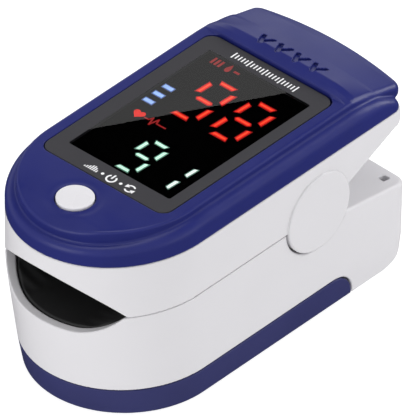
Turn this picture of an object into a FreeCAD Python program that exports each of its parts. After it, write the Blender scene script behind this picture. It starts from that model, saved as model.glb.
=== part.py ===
"""Fingertip pulse oximeter: a sprung clip in two jaws, with a display on top and two AAA cells below.

Frame: millimetres, +Z up, X across the width, Y along the finger (the finger enters from -Y).
The origin is the middle of the footprint, on the surface that the oximeter rests on.
"""
import FreeCAD, Part

import math
import os
import re

import Sketcher

V = FreeCAD.Vector

# Driving dimensions, all in millimetres unless the name says otherwise.
DIMS = {
    # outline shared by both jaws
    "half_width": 15.5, "nose_y": -13.9, "nose_len": 17.05, "corner": 1.8, "rear_bulge": 0.35,
    "wall": 1.4, "seam": 0.1,
    # levels
    "band_z": 4.8, "split_z": 18.85, "cover_z": 27.9, "rim_z": 31.6, "plateau_z": 33.0, "pad_z": 34.0,
    # rear ends of the outlines, at the corners
    "cover_rear": 28.6, "upper_rear": 28.9, "lower_rear": 29.65, "tongue_rear": 30.2, "tongue_bulge": 0.75,
    # top cover
    "plateau_half": 13.4, "plateau_len": 15.0, "plateau_base": 28.3, "rim_round": 1.1,
    "rim_roof": 29.7, "plateau_roof": 30.6, "cavity_half": 11.6, "cavity_len": 13.2, "cavity_rear": 27.4,
    "rim_tail_y": 22.1, "rim_tail_drop": 2.9, "nose_drop": 0.9,
    "step_y": 18.2, "crest_y": 20.0, "tongue_drop": 2.6,
    # display window and display
    "window_half": 11.9, "window_front": -17.75, "window_back": 18.05, "window_corner": 1.8,
    "window_thick": 1.2, "window_gap": 0.08, "view_half": 10.3, "view_front": -15.4, "view_back": 16.1,
    "display_half": 9.8, "display_front": -14.9, "display_back": 15.6, "display_z": 28.6, "display_top": 31.5,
    "segment_lift": 0.2, "segment_long": 0.62, "segment_thin": 0.22,
    "oxygen_x": -1.55, "oxygen_y": 5.6, "oxygen_size": 4.65, "oxygen_pitch": 7.2,
    "rate_x": 0.6, "rate_y": -9.8, "rate_size": 3.75, "rate_pitch": 5.8,
    "strength_x": -7.5, "strength_y": 0.3, "strength_pitch": 2.05, "strength_long": 1.9, "strength_thin": 0.9,
    # power button and its switch
    "button_y": -23.15, "button_r": 2.78, "button_hole_r": 2.95, "button_top": 33.2, "button_flange_r": 3.5,
    "button_flange_z": 29.2, "button_flange_thick": 0.7, "button_stem_r": 1.0, "button_stem_z": 28.9,
    "switch_half": 2.2, "switch_thick": 1.0, "switch_plunger_r": 0.9, "switch_gap": 0.5,
    # main board
    "board_z": 26.9, "board_thick": 0.9, "board_half": 9.7, "board_front": -17.4, "board_back": 18.4,
    "board_tab_half": 4.4, "board_tab_front": -26.3,
    # upper shell
    "floor_z": 25.3, "floor_thick": 1.0, "arch_r": 14.0, "arch_z": 10.8,
    "notch_y": 17.2, "notch_z": 20.8, "tail_y": 26.9, "tail_z": 25.1, "plate_thick": 1.2,
    # hinge
    "hinge_y": 10.6, "hinge_z": 19.4, "lobe_r": 6.4, "lobe_out": 15.75, "lobe_gap": 0.3, "lobe_boss_r": 2.6,
    "lobe_boss_in": 12.6, "pin_r": 1.0, "pin_run": 0.05, "pin_half": 14.8, "pin_pocket": 14.9,
    "ear_in": 10.3, "ear_out": 12.3, "ear_r": 2.8,
    "coil_r": 1.9, "coil_wire": 0.35, "coil_in": 5.4, "coil_pitch": 0.8, "coil_turns": 4,
    # lower shell
    "base_half": 15.0, "base_len": 15.85, "base_y": -12.75, "foot_half": 14.5, "foot_len": 15.2,
    "foot_y": -12.4, "foot_rear": 29.35, "foot_round": 4.4,
    "deck_z": 12.9, "deck_thick": 1.0, "lip_half": 4.25, "lip_z": 15.45, "lip_r": 9.0, "lip_top": 19.4,
    "shoulder_y": 16.3, "shoulder_z": 16.35, "shoulder_end_z": 14.2, "rear_floor": 1.3,
    "lanyard_x": 12.6, "lanyard_y": 27.2, "lanyard_wide": 1.6, "lanyard_long": 1.7, "lanyard_low": 10.6,
    # battery cover
    "door_end": 18.4, "door_round": 5.2, "door_floor": 1.2, "door_wall": 1.3, "door_gap": 0.2,
    "grip_half": 5.0, "grip_wide": 0.9, "grip_deep": 0.35, "grip_pitch": 2.2, "grip_y": -16.0,
    # cells, tray and contacts
    "cell_r": 5.25, "cell_x": 5.5, "cell_z": 7.0, "cell_body": 43.7, "cell_nub": 0.8, "cell_nub_r": 1.9,
    "cell_a_y": -18.6, "cell_b_y": -19.0,
    "tray_half": 11.9, "tray_nose_half": 8.8, "tray_front": -22.9, "tray_knee": -19.3, "tray_back": 28.0,
    "tray_low": 5.0, "tray_top": 12.8, "tray_wall": 0.8, "tray_roof": 0.45,
    "contact_half": 3.6, "contact_thick": 0.3, "contact_low": 5.2, "contact_high": 10.6,
    "spring_wire": 0.3, "spring_r": 1.85, "spring_turns": 3,
    # finger pads and optics
    "pad_inset": 0.15, "pad_back": 4.6, "pad_stop": 1.0, "low_pad_top": 18.6, "high_pad_low": 19.05,
    "pad_sink": 0.25, "optic_y": -9.5, "optic_half_x": 2.6, "optic_half_y": 2.2, "optic_gap": 0.1,
    "optic_thick": 0.6, "carrier_half_x": 3.9, "carrier_half_y": 3.4, "carrier_thick": 0.8,
    "die_half": 0.5, "die_thick": 0.3, "die_x": 0.9, "diode_half": 1.4,
    # screws
    "screw_r": 0.75, "screw_head_r": 1.6, "screw_head": 1.0, "screw_clear": 0.1, "boss_r": 1.7,
    "front_screw_x": 9.2, "front_screw_y": -20.6, "rear_screw_x": 11.9, "rear_screw_y": 13.5,
    "screw_top": 30.2, "tray_screw_y": 19.5, "tray_screw_low": 11.1, "tray_screw_top": 15.0,
    # ribbon between the jaws
    "ribbon_half": 2.4, "ribbon_thick": 0.2, "ribbon_y": 7.9, "ribbon_front": -6.9, "ribbon_gap": 0.4,
}
WORD = re.compile(r"[a-z][a-z0-9_]*")

doc = FreeCAD.newDocument("pulse_oximeter")
sheet = doc.addObject("Spreadsheet::Sheet", "Dims")
for row, (alias, value) in enumerate(DIMS.items(), start=1):
    sheet.set(f"A{row}", alias)
    sheet.set(f"B{row}", str(value))
    sheet.setAlias(f"B{row}", alias)
scratch = doc.addObject("Spreadsheet::Sheet", "Scratch")
doc.recompute()
nodes = []


# ---------------------------------------------------------------- expressions

def ref(text):
    """An expression in the sheet's aliases, written so that other objects can read it."""
    return WORD.sub(lambda m: "Dims." + m.group(0) if m.group(0) in DIMS else m.group(0), str(text))


def num(text):
    """The present value of an expression, worked out in the scratch sheet's only cell."""
    scratch.set("A1", "=" + ref(text))
    scratch.recompute()
    value = scratch.get("A1")
    return float(getattr(value, "Value", value))


def bind(obj, prop, text):
    obj.setExpression(prop, ref(text))


def node(obj, name):
    obj.Label = name
    nodes.append(obj)
    return obj


# ---------------------------------------------------------------- sketches

class Drawing:
    """A sketch on one of a body's own origin planes, whose points and radii are bound to the sheet."""

    def __init__(self, body, name, role="XY_Plane", level="0"):
        plane = [f for f in body.Origin.OriginFeatures if f.Role == role][0]
        self.sketch = body.newObject("Sketcher::SketchObject", name)
        self.sketch.AttachmentSupport = [(plane, "")]
        self.sketch.MapMode = "FlatFace"
        bind(self.sketch, "AttachmentOffset.Base.z", level)

    def rule(self, *args, value=None):
        index = self.sketch.addConstraint(Sketcher.Constraint(*args))
        if value is not None:
            self.sketch.setExpression(f"Constraints[{index}]", ref(value))

    def pin_point(self, geo, pos, x, y):
        self.rule("DistanceX", -1, 1, geo, pos, num(x), value=x)
        self.rule("DistanceY", -1, 1, geo, pos, num(y), value=y)

    def circle(self, x, y, r):
        geo = self.sketch.addGeometry(Part.Circle(V(num(x), num(y), 0), V(0, 0, 1), num(r)), False)
        self.pin_point(geo, 3, x, y)
        self.rule("Radius", geo, num(r), value=r)
        return self

    def polygon(self, points, arcs=None):
        """Closed run of points; arcs maps the index of a side to (radius, bend), bend being +1 or -1."""
        arcs = arcs or {}
        spots = [V(num(x), num(y), 0) for x, y in points]
        count = len(points)
        geos = []
        for i, (a, b) in enumerate(zip(spots, spots[1:] + spots[:1])):
            if i in arcs:
                radius, bend = arcs[i]
                geos.append(self.sketch.addGeometry(arc_between(a, b, num(radius), bend), False))
            else:
                geos.append(self.sketch.addGeometry(Part.LineSegment(a, b), False))
        for i, (x, y) in enumerate(points):
            start = 2 if i in arcs and arcs[i][1] < 0 else 1
            before = (i - 1) % count
            end = 1 if before in arcs and arcs[before][1] < 0 else 2
            self.rule("Coincident", geos[before], end, geos[i], start)
            self.pin_point(geos[i], start, x, y)
        for i, (radius, _) in arcs.items():
            self.rule("Radius", geos[i], num(radius), value=radius)
        return self

    def rectangle(self, x0, x1, y0, y1):
        return self.polygon([(x0, y0), (x1, y0), (x1, y1), (x0, y1)])

    def jaw(self, half, length, nose_y, rear_y, corner, bulge):
        """The plan of a jaw: half an ellipse for a nose, straight sides, a slightly bowed rear."""
        hw, ln, ny, ry, r, bow = (num(v) for v in (half, length, nose_y, rear_y, corner, bulge))
        add = self.sketch.addGeometry
        ellipse = Part.Ellipse(V(0, ny + ln, 0), V(-hw, ny, 0), V(0, ny, 0))
        nose = add(Part.ArcOfEllipse(ellipse, math.pi / 2, 3 * math.pi / 2), False)
        self.sketch.exposeInternalGeometry(nose)
        long_axis, short_axis = nose + 1, nose + 2
        right = add(Part.LineSegment(V(hw, ny, 0), V(hw, ry - r, 0)), False)
        turn_r = add(Part.ArcOfCircle(Part.Circle(V(hw - r, ry - r, 0), V(0, 0, 1), r), 0, math.pi / 2),
                     False)
        rear = add(Part.Arc(V(hw - r, ry, 0), V(0, ry + bow, 0), V(r - hw, ry, 0)), False)
        turn_l = add(Part.ArcOfCircle(Part.Circle(V(r - hw, ry - r, 0), V(0, 0, 1), r), math.pi / 2, math.pi),
                     False)
        left = add(Part.LineSegment(V(-hw, ry - r, 0), V(-hw, ny, 0)), False)
        self.rule("PointOnObject", nose, 3, -2)
        self.rule("DistanceY", -1, 1, nose, 3, ny, value=nose_y)
        self.rule("Vertical", long_axis)
        self.rule("Distance", long_axis, 2 * ln, value=f"2 * ({length})")
        self.rule("Distance", short_axis, 2 * hw, value=f"2 * ({half})")
        self.rule("Horizontal", nose, 2, nose, 3)
        self.rule("Horizontal", nose, 1, nose, 3)
        self.rule("Coincident", nose, 2, right, 1)
        self.rule("Coincident", nose, 1, left, 2)
        self.rule("Vertical", right)
        self.rule("Coincident", right, 2, turn_r, 1)
        self.rule("Coincident", turn_r, 2, rear, 1)
        self.rule("Coincident", rear, 2, turn_l, 1)
        self.rule("Coincident", turn_l, 2, left, 1)
        self.rule("DistanceY", -1, 1, right, 2, ry - r, value=f"({rear_y}) - ({corner})")
        self.pin_point(turn_r, 2, f"({half}) - ({corner})", rear_y)
        self.rule("Symmetric", turn_r, 2, turn_l, 1, -2)
        self.rule("Symmetric", turn_r, 1, turn_l, 2, -2)
        self.rule("Radius", turn_r, r, value=corner)
        self.rule("Radius", turn_l, r, value=corner)
        chord = f"(({half}) - ({corner}))"
        self.rule("Radius", rear, ((hw - r) ** 2 + bow ** 2) / (2 * bow),
                  value=f"({chord} * {chord} + ({bulge}) * ({bulge})) / (2 * ({bulge}))")
        return self


def arc_between(a, b, radius, bend):
    """Arc from a to b; bend +1 keeps the centre on the left of the way from a to b, -1 on the right."""
    half = (b - a) * 0.5
    rise = math.sqrt(max(radius ** 2 - half.Length ** 2, 0.0))
    side = V(-half.y, half.x, 0).normalize() * bend
    centre = a + half + side * rise
    crown = centre - side * radius
    return Part.Arc(a, crown, b)


# ---------------------------------------------------------------- body features

def new_body(name):
    return doc.addObject("PartDesign::Body", name)


def measured(body, feature, grows, old):
    """Recompute, and stop if the feature did nothing or went the wrong way."""
    doc.recompute()
    volume = body.Shape.Volume
    if not feature.Shape.isValid() or (volume <= old + 1e-3 if grows else volume >= old - 1e-3):
        raise RuntimeError(f"{body.Name}: {feature.Name} changed the volume from {old:.2f} to {volume:.2f}")
    return feature


def extrude(body, kind, drawing, length, both_ways=False, backwards=False):
    old = body.Shape.Volume if body.Tip else 0.0
    feature = body.newObject(kind, drawing.sketch.Name + "_solid")
    feature.Profile = drawing.sketch
    feature.Midplane = both_ways
    feature.Reversed = backwards
    bind(feature, "Length", length)
    drawing.sketch.Visibility = False
    return measured(body, feature, kind.endswith("Pad"), old)


def pad(body, drawing, length, **ways):
    return extrude(body, "PartDesign::Pad", drawing, length, **ways)


def pocket(body, drawing, length, **ways):
    return extrude(body, "PartDesign::Pocket", drawing, length, **ways)


def loft(body, kind, low, high):
    old = body.Shape.Volume if body.Tip else 0.0
    feature = body.newObject(kind, low.sketch.Name + "_loft")
    feature.Profile = low.sketch
    feature.Sections = [high.sketch]
    feature.Ruled = True
    return measured(body, feature, kind.endswith("AdditiveLoft"), old)


def round_edges(body, chosen, radius):
    """Fillet the edges of the body's tip that chosen() accepts."""
    base = body.Tip
    names = [f"Edge{i}" for i, e in enumerate(base.Shape.Edges, start=1) if chosen(e)]
    feature = body.newObject("PartDesign::Fillet", base.Name + "_round")
    feature.Base = (base, names)
    bind(feature, "Radius", radius)
    doc.recompute()
    if not names or not feature.isValid():
        raise RuntimeError(f"{body.Name}: fillet failed on {len(names)} edges")
    return feature


# ---------------------------------------------------------------- primitives

def box(name, x, y, z):
    """Part::Box between the bounds x, y and z, each a pair of expressions."""
    obj = doc.addObject("Part::Box", name)
    for size, place, (low, high) in zip(("Length", "Width", "Height"), "xyz", (x, y, z)):
        bind(obj, size, f"({high}) - ({low})")
        bind(obj, "Placement.Base." + place, low)
    return obj


def rod(name, radius, axis, start, end, across):
    """Part::Cylinder along an axis, from start to end; across holds its other two coordinates, in order."""
    obj = doc.addObject("Part::Cylinder", name)
    bind(obj, "Radius", radius)
    bind(obj, "Height", f"({end}) - ({start})")
    turn = {"x": (V(0, 1, 0), 90), "y": (V(1, 0, 0), -90), "z": (V(0, 0, 1), 0)}[axis]
    obj.Placement = FreeCAD.Placement(V(0, 0, 0), FreeCAD.Rotation(*turn))
    others = [c for c in "xyz" if c != axis]
    bind(obj, "Placement.Base." + axis, start)
    for place, value in zip(others, across):
        bind(obj, "Placement.Base." + place, value)
    return obj


def fuse(name, shapes):
    obj = doc.addObject("Part::MultiFuse", name)
    obj.Shapes = shapes
    return obj


def cut(name, base, tool):
    obj = doc.addObject("Part::Cut", name)
    obj.Base = base
    obj.Tool = tool
    return obj


def group(name, shapes):
    obj = doc.addObject("Part::Compound", name)
    obj.Links = shapes
    return obj


# ---------------------------------------------------------------- upper jaw

def top_cover():
    body = new_body("top_cover")
    rim = Drawing(body, "rim_plan", level="cover_z")
    rim.jaw("half_width", "nose_len", "nose_y", "cover_rear", "corner", "rear_bulge")
    pad(body, rim, "rim_z - cover_z")
    round_edges(body, lambda e: e.BoundBox.ZMin > num("rim_z") - 1e-3, "rim_round")
    fall = Drawing(body, "rim_tail", "YZ_Plane")
    fall.polygon([("rim_tail_y", "rim_z"), ("rim_tail_y", "pad_z"), ("tongue_rear + wall", "pad_z"),
                  ("tongue_rear + wall", "rim_z - rim_tail_drop")])
    pocket(body, fall, "4 * half_width", both_ways=True)
    plateau = Drawing(body, "plateau_plan", level="plateau_base")
    plateau.jaw("plateau_half", "plateau_len", "nose_y", "tongue_rear", "corner", "tongue_bulge")
    pad(body, plateau, "pad_z + 1 - plateau_base")
    crown = Drawing(body, "crown", "YZ_Plane")
    crown.polygon([("-2 * half_width", "plateau_z - nose_drop"), ("window_front", "plateau_z"),
                   ("step_y", "plateau_z"), ("crest_y", "pad_z"),
                   ("tongue_rear - corner", "pad_z - tongue_drop"),
                   ("tongue_rear + wall", "pad_z - tongue_drop - 2 * corner"),
                   ("tongue_rear + wall", "pad_z + 2"), ("-2 * half_width", "pad_z + 2")])
    pocket(body, crown, "4 * half_width", both_ways=True)
    inner = Drawing(body, "rim_cavity", level="cover_z")
    inner.jaw("half_width - wall", "nose_len - wall", "nose_y", "rim_tail_y", "corner / 2", "rear_bulge")
    pocket(body, inner, "rim_roof - cover_z", backwards=True)
    high = Drawing(body, "plateau_cavity", level="cover_z")
    high.jaw("cavity_half", "cavity_len", "nose_y", "cavity_rear", "corner / 2", "rear_bulge")
    pocket(body, high, "plateau_roof - cover_z", backwards=True)
    recess = Drawing(body, "window_recess", level="plateau_z")
    recess.polygon(*rounded_rectangle("window_half + window_gap", "window_front - window_gap",
                                      "window_back + window_gap", "window_corner"))
    pocket(body, recess, "window_thick + window_gap")
    view = Drawing(body, "display_opening", level="plateau_z")
    view.rectangle("-view_half", "view_half", "view_front", "view_back")
    pocket(body, view, "plateau_z - cover_z")
    hole = Drawing(body, "button_hole", level="plateau_z")
    hole.circle("0", "button_y", "button_hole_r")
    pocket(body, hole, "plateau_z - cover_z")
    posts = Drawing(body, "screw_posts", level="cover_z")
    bores = Drawing(body, "screw_bores", level="cover_z")
    for x, y in screw_places():
        posts.circle(x, y, "boss_r")
        bores.circle(x, y, "screw_r")
    pad(body, posts, "plateau_roof - cover_z")
    pocket(body, bores, "screw_top - cover_z", backwards=True)
    return node(body, "top_cover")


def rounded_rectangle(half, front, back, r):
    """Points and arcs of a rectangle, symmetric in X, with rounded corners."""
    points = [(f"({r}) - ({half})", front), (f"({half}) - ({r})", front), (half, f"({front}) + ({r})"),
              (half, f"({back}) - ({r})"), (f"({half}) - ({r})", back), (f"({r}) - ({half})", back),
              (f"-({half})", f"({back}) - ({r})"), (f"-({half})", f"({front}) + ({r})")]
    return points, {1: (r, 1), 3: (r, 1), 5: (r, 1), 7: (r, 1)}


def screw_places():
    """Where the cover is screwed to the upper shell."""
    return [("front_screw_x", "front_screw_y"), ("-front_screw_x", "front_screw_y"),
            ("rear_screw_x", "rear_screw_y"), ("-rear_screw_x", "rear_screw_y")]


def upper_shell():
    body = new_body("upper_shell")
    plan = Drawing(body, "upper_plan", level="split_z + seam")
    plan.jaw("half_width", "nose_len", "nose_y", "upper_rear", "corner", "rear_bulge")
    pad(body, plan, "cover_z - split_z - seam")
    bay = Drawing(body, "board_bay", level="cover_z")
    bay.jaw("half_width - wall", "nose_len - wall", "nose_y", "upper_rear - wall", "corner / 2", "rear_bulge")
    pocket(body, bay, "cover_z - floor_z - floor_thick")
    throat = Drawing(body, "finger_bay", level="split_z")
    throat.jaw("half_width - wall", "nose_len - wall", "nose_y", "upper_rear - wall", "corner / 2",
               "rear_bulge")
    pocket(body, throat, "floor_z - split_z", backwards=True)
    well = Drawing(body, "rear_well", level="cover_z")
    well.rectangle("wall - half_width", "half_width - wall", "notch_y", "upper_rear - 2 * wall")
    pocket(body, well, "cover_z - floor_z")
    notch = Drawing(body, "rear_notch", "YZ_Plane")
    notch.polygon([("notch_y", "split_z - wall"), ("notch_y", "notch_z"), ("tail_y", "tail_z"),
                   ("upper_rear + wall", "tail_z + corner / 4"), ("upper_rear + wall", "split_z - wall")])
    pocket(body, notch, "4 * half_width", both_ways=True)
    plate = Drawing(body, "rear_plate", "YZ_Plane")
    plate.polygon([("notch_y - plate_thick", "notch_z"), ("notch_y", "notch_z"), ("tail_y", "tail_z"),
                   ("upper_rear - wall / 2", "tail_z + corner / 4"),
                   ("upper_rear - wall / 2", "floor_z + floor_thick"),
                   ("tail_y - plate_thick", "floor_z + floor_thick"), ("notch_y", "notch_z + plate_thick"),
                   ("notch_y", "floor_z + floor_thick"),
                   ("notch_y - plate_thick", "floor_z + floor_thick")])
    pad(body, plate, "2 * (half_width - wall / 2)", both_ways=True)
    arch = Drawing(body, "finger_arch", "XZ_Plane", level="-(nose_y - nose_len / 2)")
    arch.circle("0", "arch_z", "arch_r")
    pocket(body, arch, "nose_len", backwards=True)
    optic = Drawing(body, "emitter_opening", level="cover_z")
    optic.rectangle("-carrier_half_x - optic_gap", "carrier_half_x + optic_gap",
                    "optic_y - carrier_half_y - optic_gap", "optic_y + carrier_half_y + optic_gap")
    optic.rectangle("-ribbon_half - optic_gap", "ribbon_half + optic_gap", "ribbon_y - optic_gap",
                    "ribbon_y + ribbon_thick + optic_gap")
    pocket(body, optic, "cover_z - floor_z")
    posts = Drawing(body, "shell_posts", level="floor_z")
    heads = Drawing(body, "head_pockets", level="floor_z")
    shanks = Drawing(body, "shank_holes", level="floor_z")
    for x, y in screw_places():
        posts.circle(x, y, "boss_r + screw_clear + wall / 4")
        heads.circle(x, y, "screw_head_r + screw_clear")
        shanks.circle(x, y, "screw_r + screw_clear")
    pad(body, posts, "cover_z - floor_z")
    pocket(body, shanks, "cover_z - floor_z", backwards=True)
    pocket(body, heads, "screw_head + 2 * screw_clear", backwards=True)
    for name, level, way in (("right", "half_width - wall", False), ("left", "-lobe_out", False)):
        lobe = Drawing(body, name + "_lobe", "YZ_Plane", level=level)
        lobe.circle("hinge_y", "hinge_z", "lobe_r")
        pad(body, lobe, "lobe_out - half_width + wall", backwards=way)
    for name, level in (("right", "lobe_boss_in"), ("left", "wall - half_width")):
        boss = Drawing(body, name + "_boss", "YZ_Plane", level=level)
        boss.circle("hinge_y", "hinge_z", "lobe_boss_r")
        pad(body, boss, "half_width - wall - lobe_boss_in")
    bore = Drawing(body, "pin_bore", "YZ_Plane")
    bore.circle("hinge_y", "hinge_z", "pin_r + pin_run")
    pocket(body, bore, "2 * pin_pocket", both_ways=True)
    return node(body, "upper_shell")


def display_window():
    body = new_body("display_window")
    plan = Drawing(body, "window_plan", level="plateau_z - window_thick")
    plan.polygon(*rounded_rectangle("window_half", "window_front", "window_back", "window_corner"))
    pad(body, plan, "window_thick")
    return node(body, "display_window")


def display_module():
    block = box("display_block", ("-display_half", "display_half"), ("display_front", "display_back"),
                ("display_z", "display_top"))
    return node(block, "display_module")


def digit(name, x, y, size, lit):
    """The lit bars of one seven-segment digit whose middle is at x, y; its top is toward the rear."""
    side, tall = f"{size} * 0.47", f"{size}"
    bars = {"top": ("0", tall, True), "middle": ("0", "0", True), "bottom": ("0", f"-{tall}", True)}
    for row, shift in (("high", f"{tall} / 2"), ("low", f"-{tall} / 2")):
        bars[row + "_left"] = (f"-{side}", shift, False)
        bars[row + "_right"] = (side, shift, False)
    made = []
    for bar in lit:
        dx, dy, flat = bars[bar]
        long, thin = f"{size} * segment_long / 2", f"{size} * segment_thin / 2"
        across, along = (long, thin) if flat else (thin, long)
        made.append(lit_bar(f"{name}_{bar}", f"{x} + {dx}", f"{y} + {dy}", across, along))
    return made


def lit_bar(name, x, y, across, along):
    return box(name, (f"{x} - {across}", f"{x} + {across}"), (f"{y} - {along}", f"{y} + {along}"),
               ("display_top", "display_top + segment_lift"))


def display_segments():
    """The lit reading: 98 above 91, with three bars for the strength of the pulse."""
    nine = ("top", "middle", "bottom", "high_left", "high_right", "low_right")
    eight = nine + ("low_left",)
    one = ("high_right", "low_right")
    bars = digit("oxygen_tens", "oxygen_x", "oxygen_y", "oxygen_size", nine)
    bars += digit("oxygen_units", "oxygen_x + oxygen_pitch", "oxygen_y", "oxygen_size", eight)
    bars += digit("rate_tens", "rate_x", "rate_y", "rate_size", nine)
    bars += digit("rate_units", "rate_x + rate_pitch", "rate_y", "rate_size", one)
    for i in range(3):
        bars.append(lit_bar(f"strength_{i + 1}", "strength_x", f"strength_y + {i} * strength_pitch",
                            "strength_long / 2", "strength_thin / 2"))
    return node(group("segments", bars), "display_segments")


def main_board():
    plate = box("board_plate", ("-board_half", "board_half"), ("board_front", "board_back"),
                ("board_z", "board_z + board_thick"))
    tab = box("board_tab", ("-board_tab_half", "board_tab_half"), ("board_tab_front", "board_front + 1"),
              ("board_z", "board_z + board_thick"))
    return node(fuse("board", [plate, tab]), "main_board")


def board_chips():
    """Processor, amplifier and regulator on the underside of the board."""
    under = ("board_z - 0.55", "board_z")
    chips = [box("processor", ("-3.5", "3.5"), ("-2.0", "5.0"), under),
             box("amplifier", ("4.6", "7.6"), ("-6.0", "-2.0"), under),
             box("regulator", ("-7.4", "-5.2"), ("-4.5", "-1.5"), under),
             box("crystal", ("5.2", "7.6"), ("6.0", "10.0"), under)]
    return node(group("chips", chips), "board_chips")


def tact_switch():
    top = "board_z + board_thick"
    case = box("switch_case", ("-switch_half", "switch_half"),
               ("button_y - switch_half", "button_y + switch_half"),
               (top, f"{top} + switch_thick - switch_gap"))
    knob = rod("switch_knob", "switch_plunger_r", "z", f"{top} + switch_thick / 4",
               "button_stem_z - switch_gap", ("0", "button_y"))
    return node(fuse("switch", [case, knob]), "tact_switch")


def power_button():
    cap = rod("button_cap", "button_r", "z", "button_flange_z", "button_top", ("0", "button_y"))
    flange = rod("button_flange", "button_flange_r", "z", "button_flange_z",
                 "button_flange_z + button_flange_thick", ("0", "button_y"))
    stem = rod("button_stem", "button_stem_r", "z", "button_stem_z", "button_flange_z + 0.2",
               ("0", "button_y"))
    whole = fuse("button_solid", [cap, flange, stem])
    doc.recompute()
    rounded = doc.addObject("Part::Fillet", "button_dome")
    rounded.Base = whole
    rims = [i for i, e in enumerate(whole.Shape.Edges, start=1) if e.BoundBox.ZMin > num("button_top") - 1e-3]
    rounded.Edges = [(i, 0.6, 0.6) for i in rims]
    return node(rounded, "power_button")


def finger_pad(name, low, high, channel):
    """A silicone pad that fills one jaw from the nose to the fingertip stop, with the finger's channel."""
    body = new_body(name)
    plan = Drawing(body, name + "_plan", level=low)
    plan.jaw("half_width - wall - pad_inset", "nose_len - wall - pad_inset", "nose_y", "pad_back",
             "corner / 2", "pad_inset")
    pad(body, plan, f"({high}) - ({low})")
    shape = Drawing(body, name + "_channel", "XZ_Plane", level="pad_stop - pad_back")
    channel(shape)
    pocket(body, shape, "2 * half_width + nose_len", backwards=True)
    hole = Drawing(body, name + "_optic", level=low)
    hole.rectangle("-optic_half_x - optic_gap", "optic_half_x + optic_gap",
                   "optic_y - optic_half_y - optic_gap", "optic_y + optic_half_y + optic_gap")
    pocket(body, hole, f"({high}) - ({low})", backwards=True)
    return body


def upper_finger_pad():
    body = finger_pad("upper_finger_pad", "high_pad_low", "floor_z",
                      lambda d: d.circle("0", "arch_z", "arch_r - pad_sink"))
    return node(body, "upper_finger_pad")


def optics(side, carrier_low, die_low, lens_low):
    """Carrier board, the dies on it and the clear window over them, on one side of the finger."""
    carrier = box(side + "_carrier", ("-carrier_half_x", "carrier_half_x"),
                  ("optic_y - carrier_half_y", "optic_y + carrier_half_y"),
                  (carrier_low, f"{carrier_low} + carrier_thick"))
    lens = box(side + "_lens", ("-optic_half_x", "optic_half_x"),
               ("optic_y - optic_half_y", "optic_y + optic_half_y"), (lens_low, f"{lens_low} + optic_thick"))
    tall = (die_low, f"{die_low} + die_thick")
    if side == "emitter":
        deep = ("optic_y - die_half", "optic_y + die_half")
        dies = group("dies", [box("die_" + tag, (f"{x} - die_half", f"{x} + die_half"), deep, tall)
                              for tag, x in (("red", "die_x"), ("infrared", "-die_x"))])
    else:
        dies = box("diode", ("-diode_half", "diode_half"),
                   ("optic_y - diode_half", "optic_y + diode_half"), tall)
    return carrier, dies, lens


def emitter():
    carrier, dies, lens = optics("emitter", "floor_z + 0.05", "floor_z + 0.05 - die_thick",
                                 "floor_z - die_thick - optic_thick")
    node(carrier, "emitter_board")
    node(dies, "emitter_leds")
    node(lens, "emitter_window")


def screw(name, x, y, head_low, top):
    head = rod(name + "_head", "screw_head_r", "z", head_low, f"{head_low} + screw_head", (x, y))
    shank = rod(name + "_shank", "screw_r", "z", f"{head_low} + screw_head / 2", top, (x, y))
    deep = (head_low, f"{head_low} + 0.4")
    slot_a = box(name + "_slot_a", (f"{x} - 1", f"{x} + 1"), (f"{y} - 0.2", f"{y} + 0.2"), deep)
    slot_b = box(name + "_slot_b", (f"{x} - 0.2", f"{x} + 0.2"), (f"{y} - 1", f"{y} + 1"), deep)
    return cut(name, fuse(name + "_blank", [head, shank]), fuse(name + "_cross", [slot_a, slot_b]))


def cover_screws():
    made = [screw(f"cover_screw_{i}", x, y, "floor_z + screw_clear", "screw_top - screw_clear")
            for i, (x, y) in enumerate(screw_places(), start=1)]
    return node(group("cover_screw_set", made), "cover_screws")


# ---------------------------------------------------------------- lower jaw

def lower_outline(body, name, level, grow="0"):
    """Plan of the lower jaw at the split, at the top of the base band or at the foot."""
    sizes = {"split_z - seam": ("half_width", "nose_len", "nose_y", "lower_rear"),
             "band_z": ("base_half", "base_len", "base_y", "lower_rear"),
             "0": ("foot_half", "foot_len", "foot_y", "foot_rear")}
    half, length, nose, rear = sizes[level]
    drawing = Drawing(body, name, level=level)
    drawing.jaw(f"{half} + {grow}", f"{length} + {grow}", nose, f"{rear} + {grow}", "corner", "rear_bulge")
    return drawing


def door_region(body, name, clear):
    """Side view of the space that the battery cover takes at the bottom, with its rounded rear end."""
    drawing = Drawing(body, name, "YZ_Plane")
    drawing.polygon([("-3 * half_width", "-wall"), (f"door_end + {clear}", "-wall"),
                     (f"door_end + {clear}", "0"),
                     (f"door_end + {clear} - door_round", f"band_z - door_gap + {clear}"),
                     ("-3 * half_width", f"band_z - door_gap + {clear}")],
                    {2: ("door_round", 1)})
    return drawing


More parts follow.
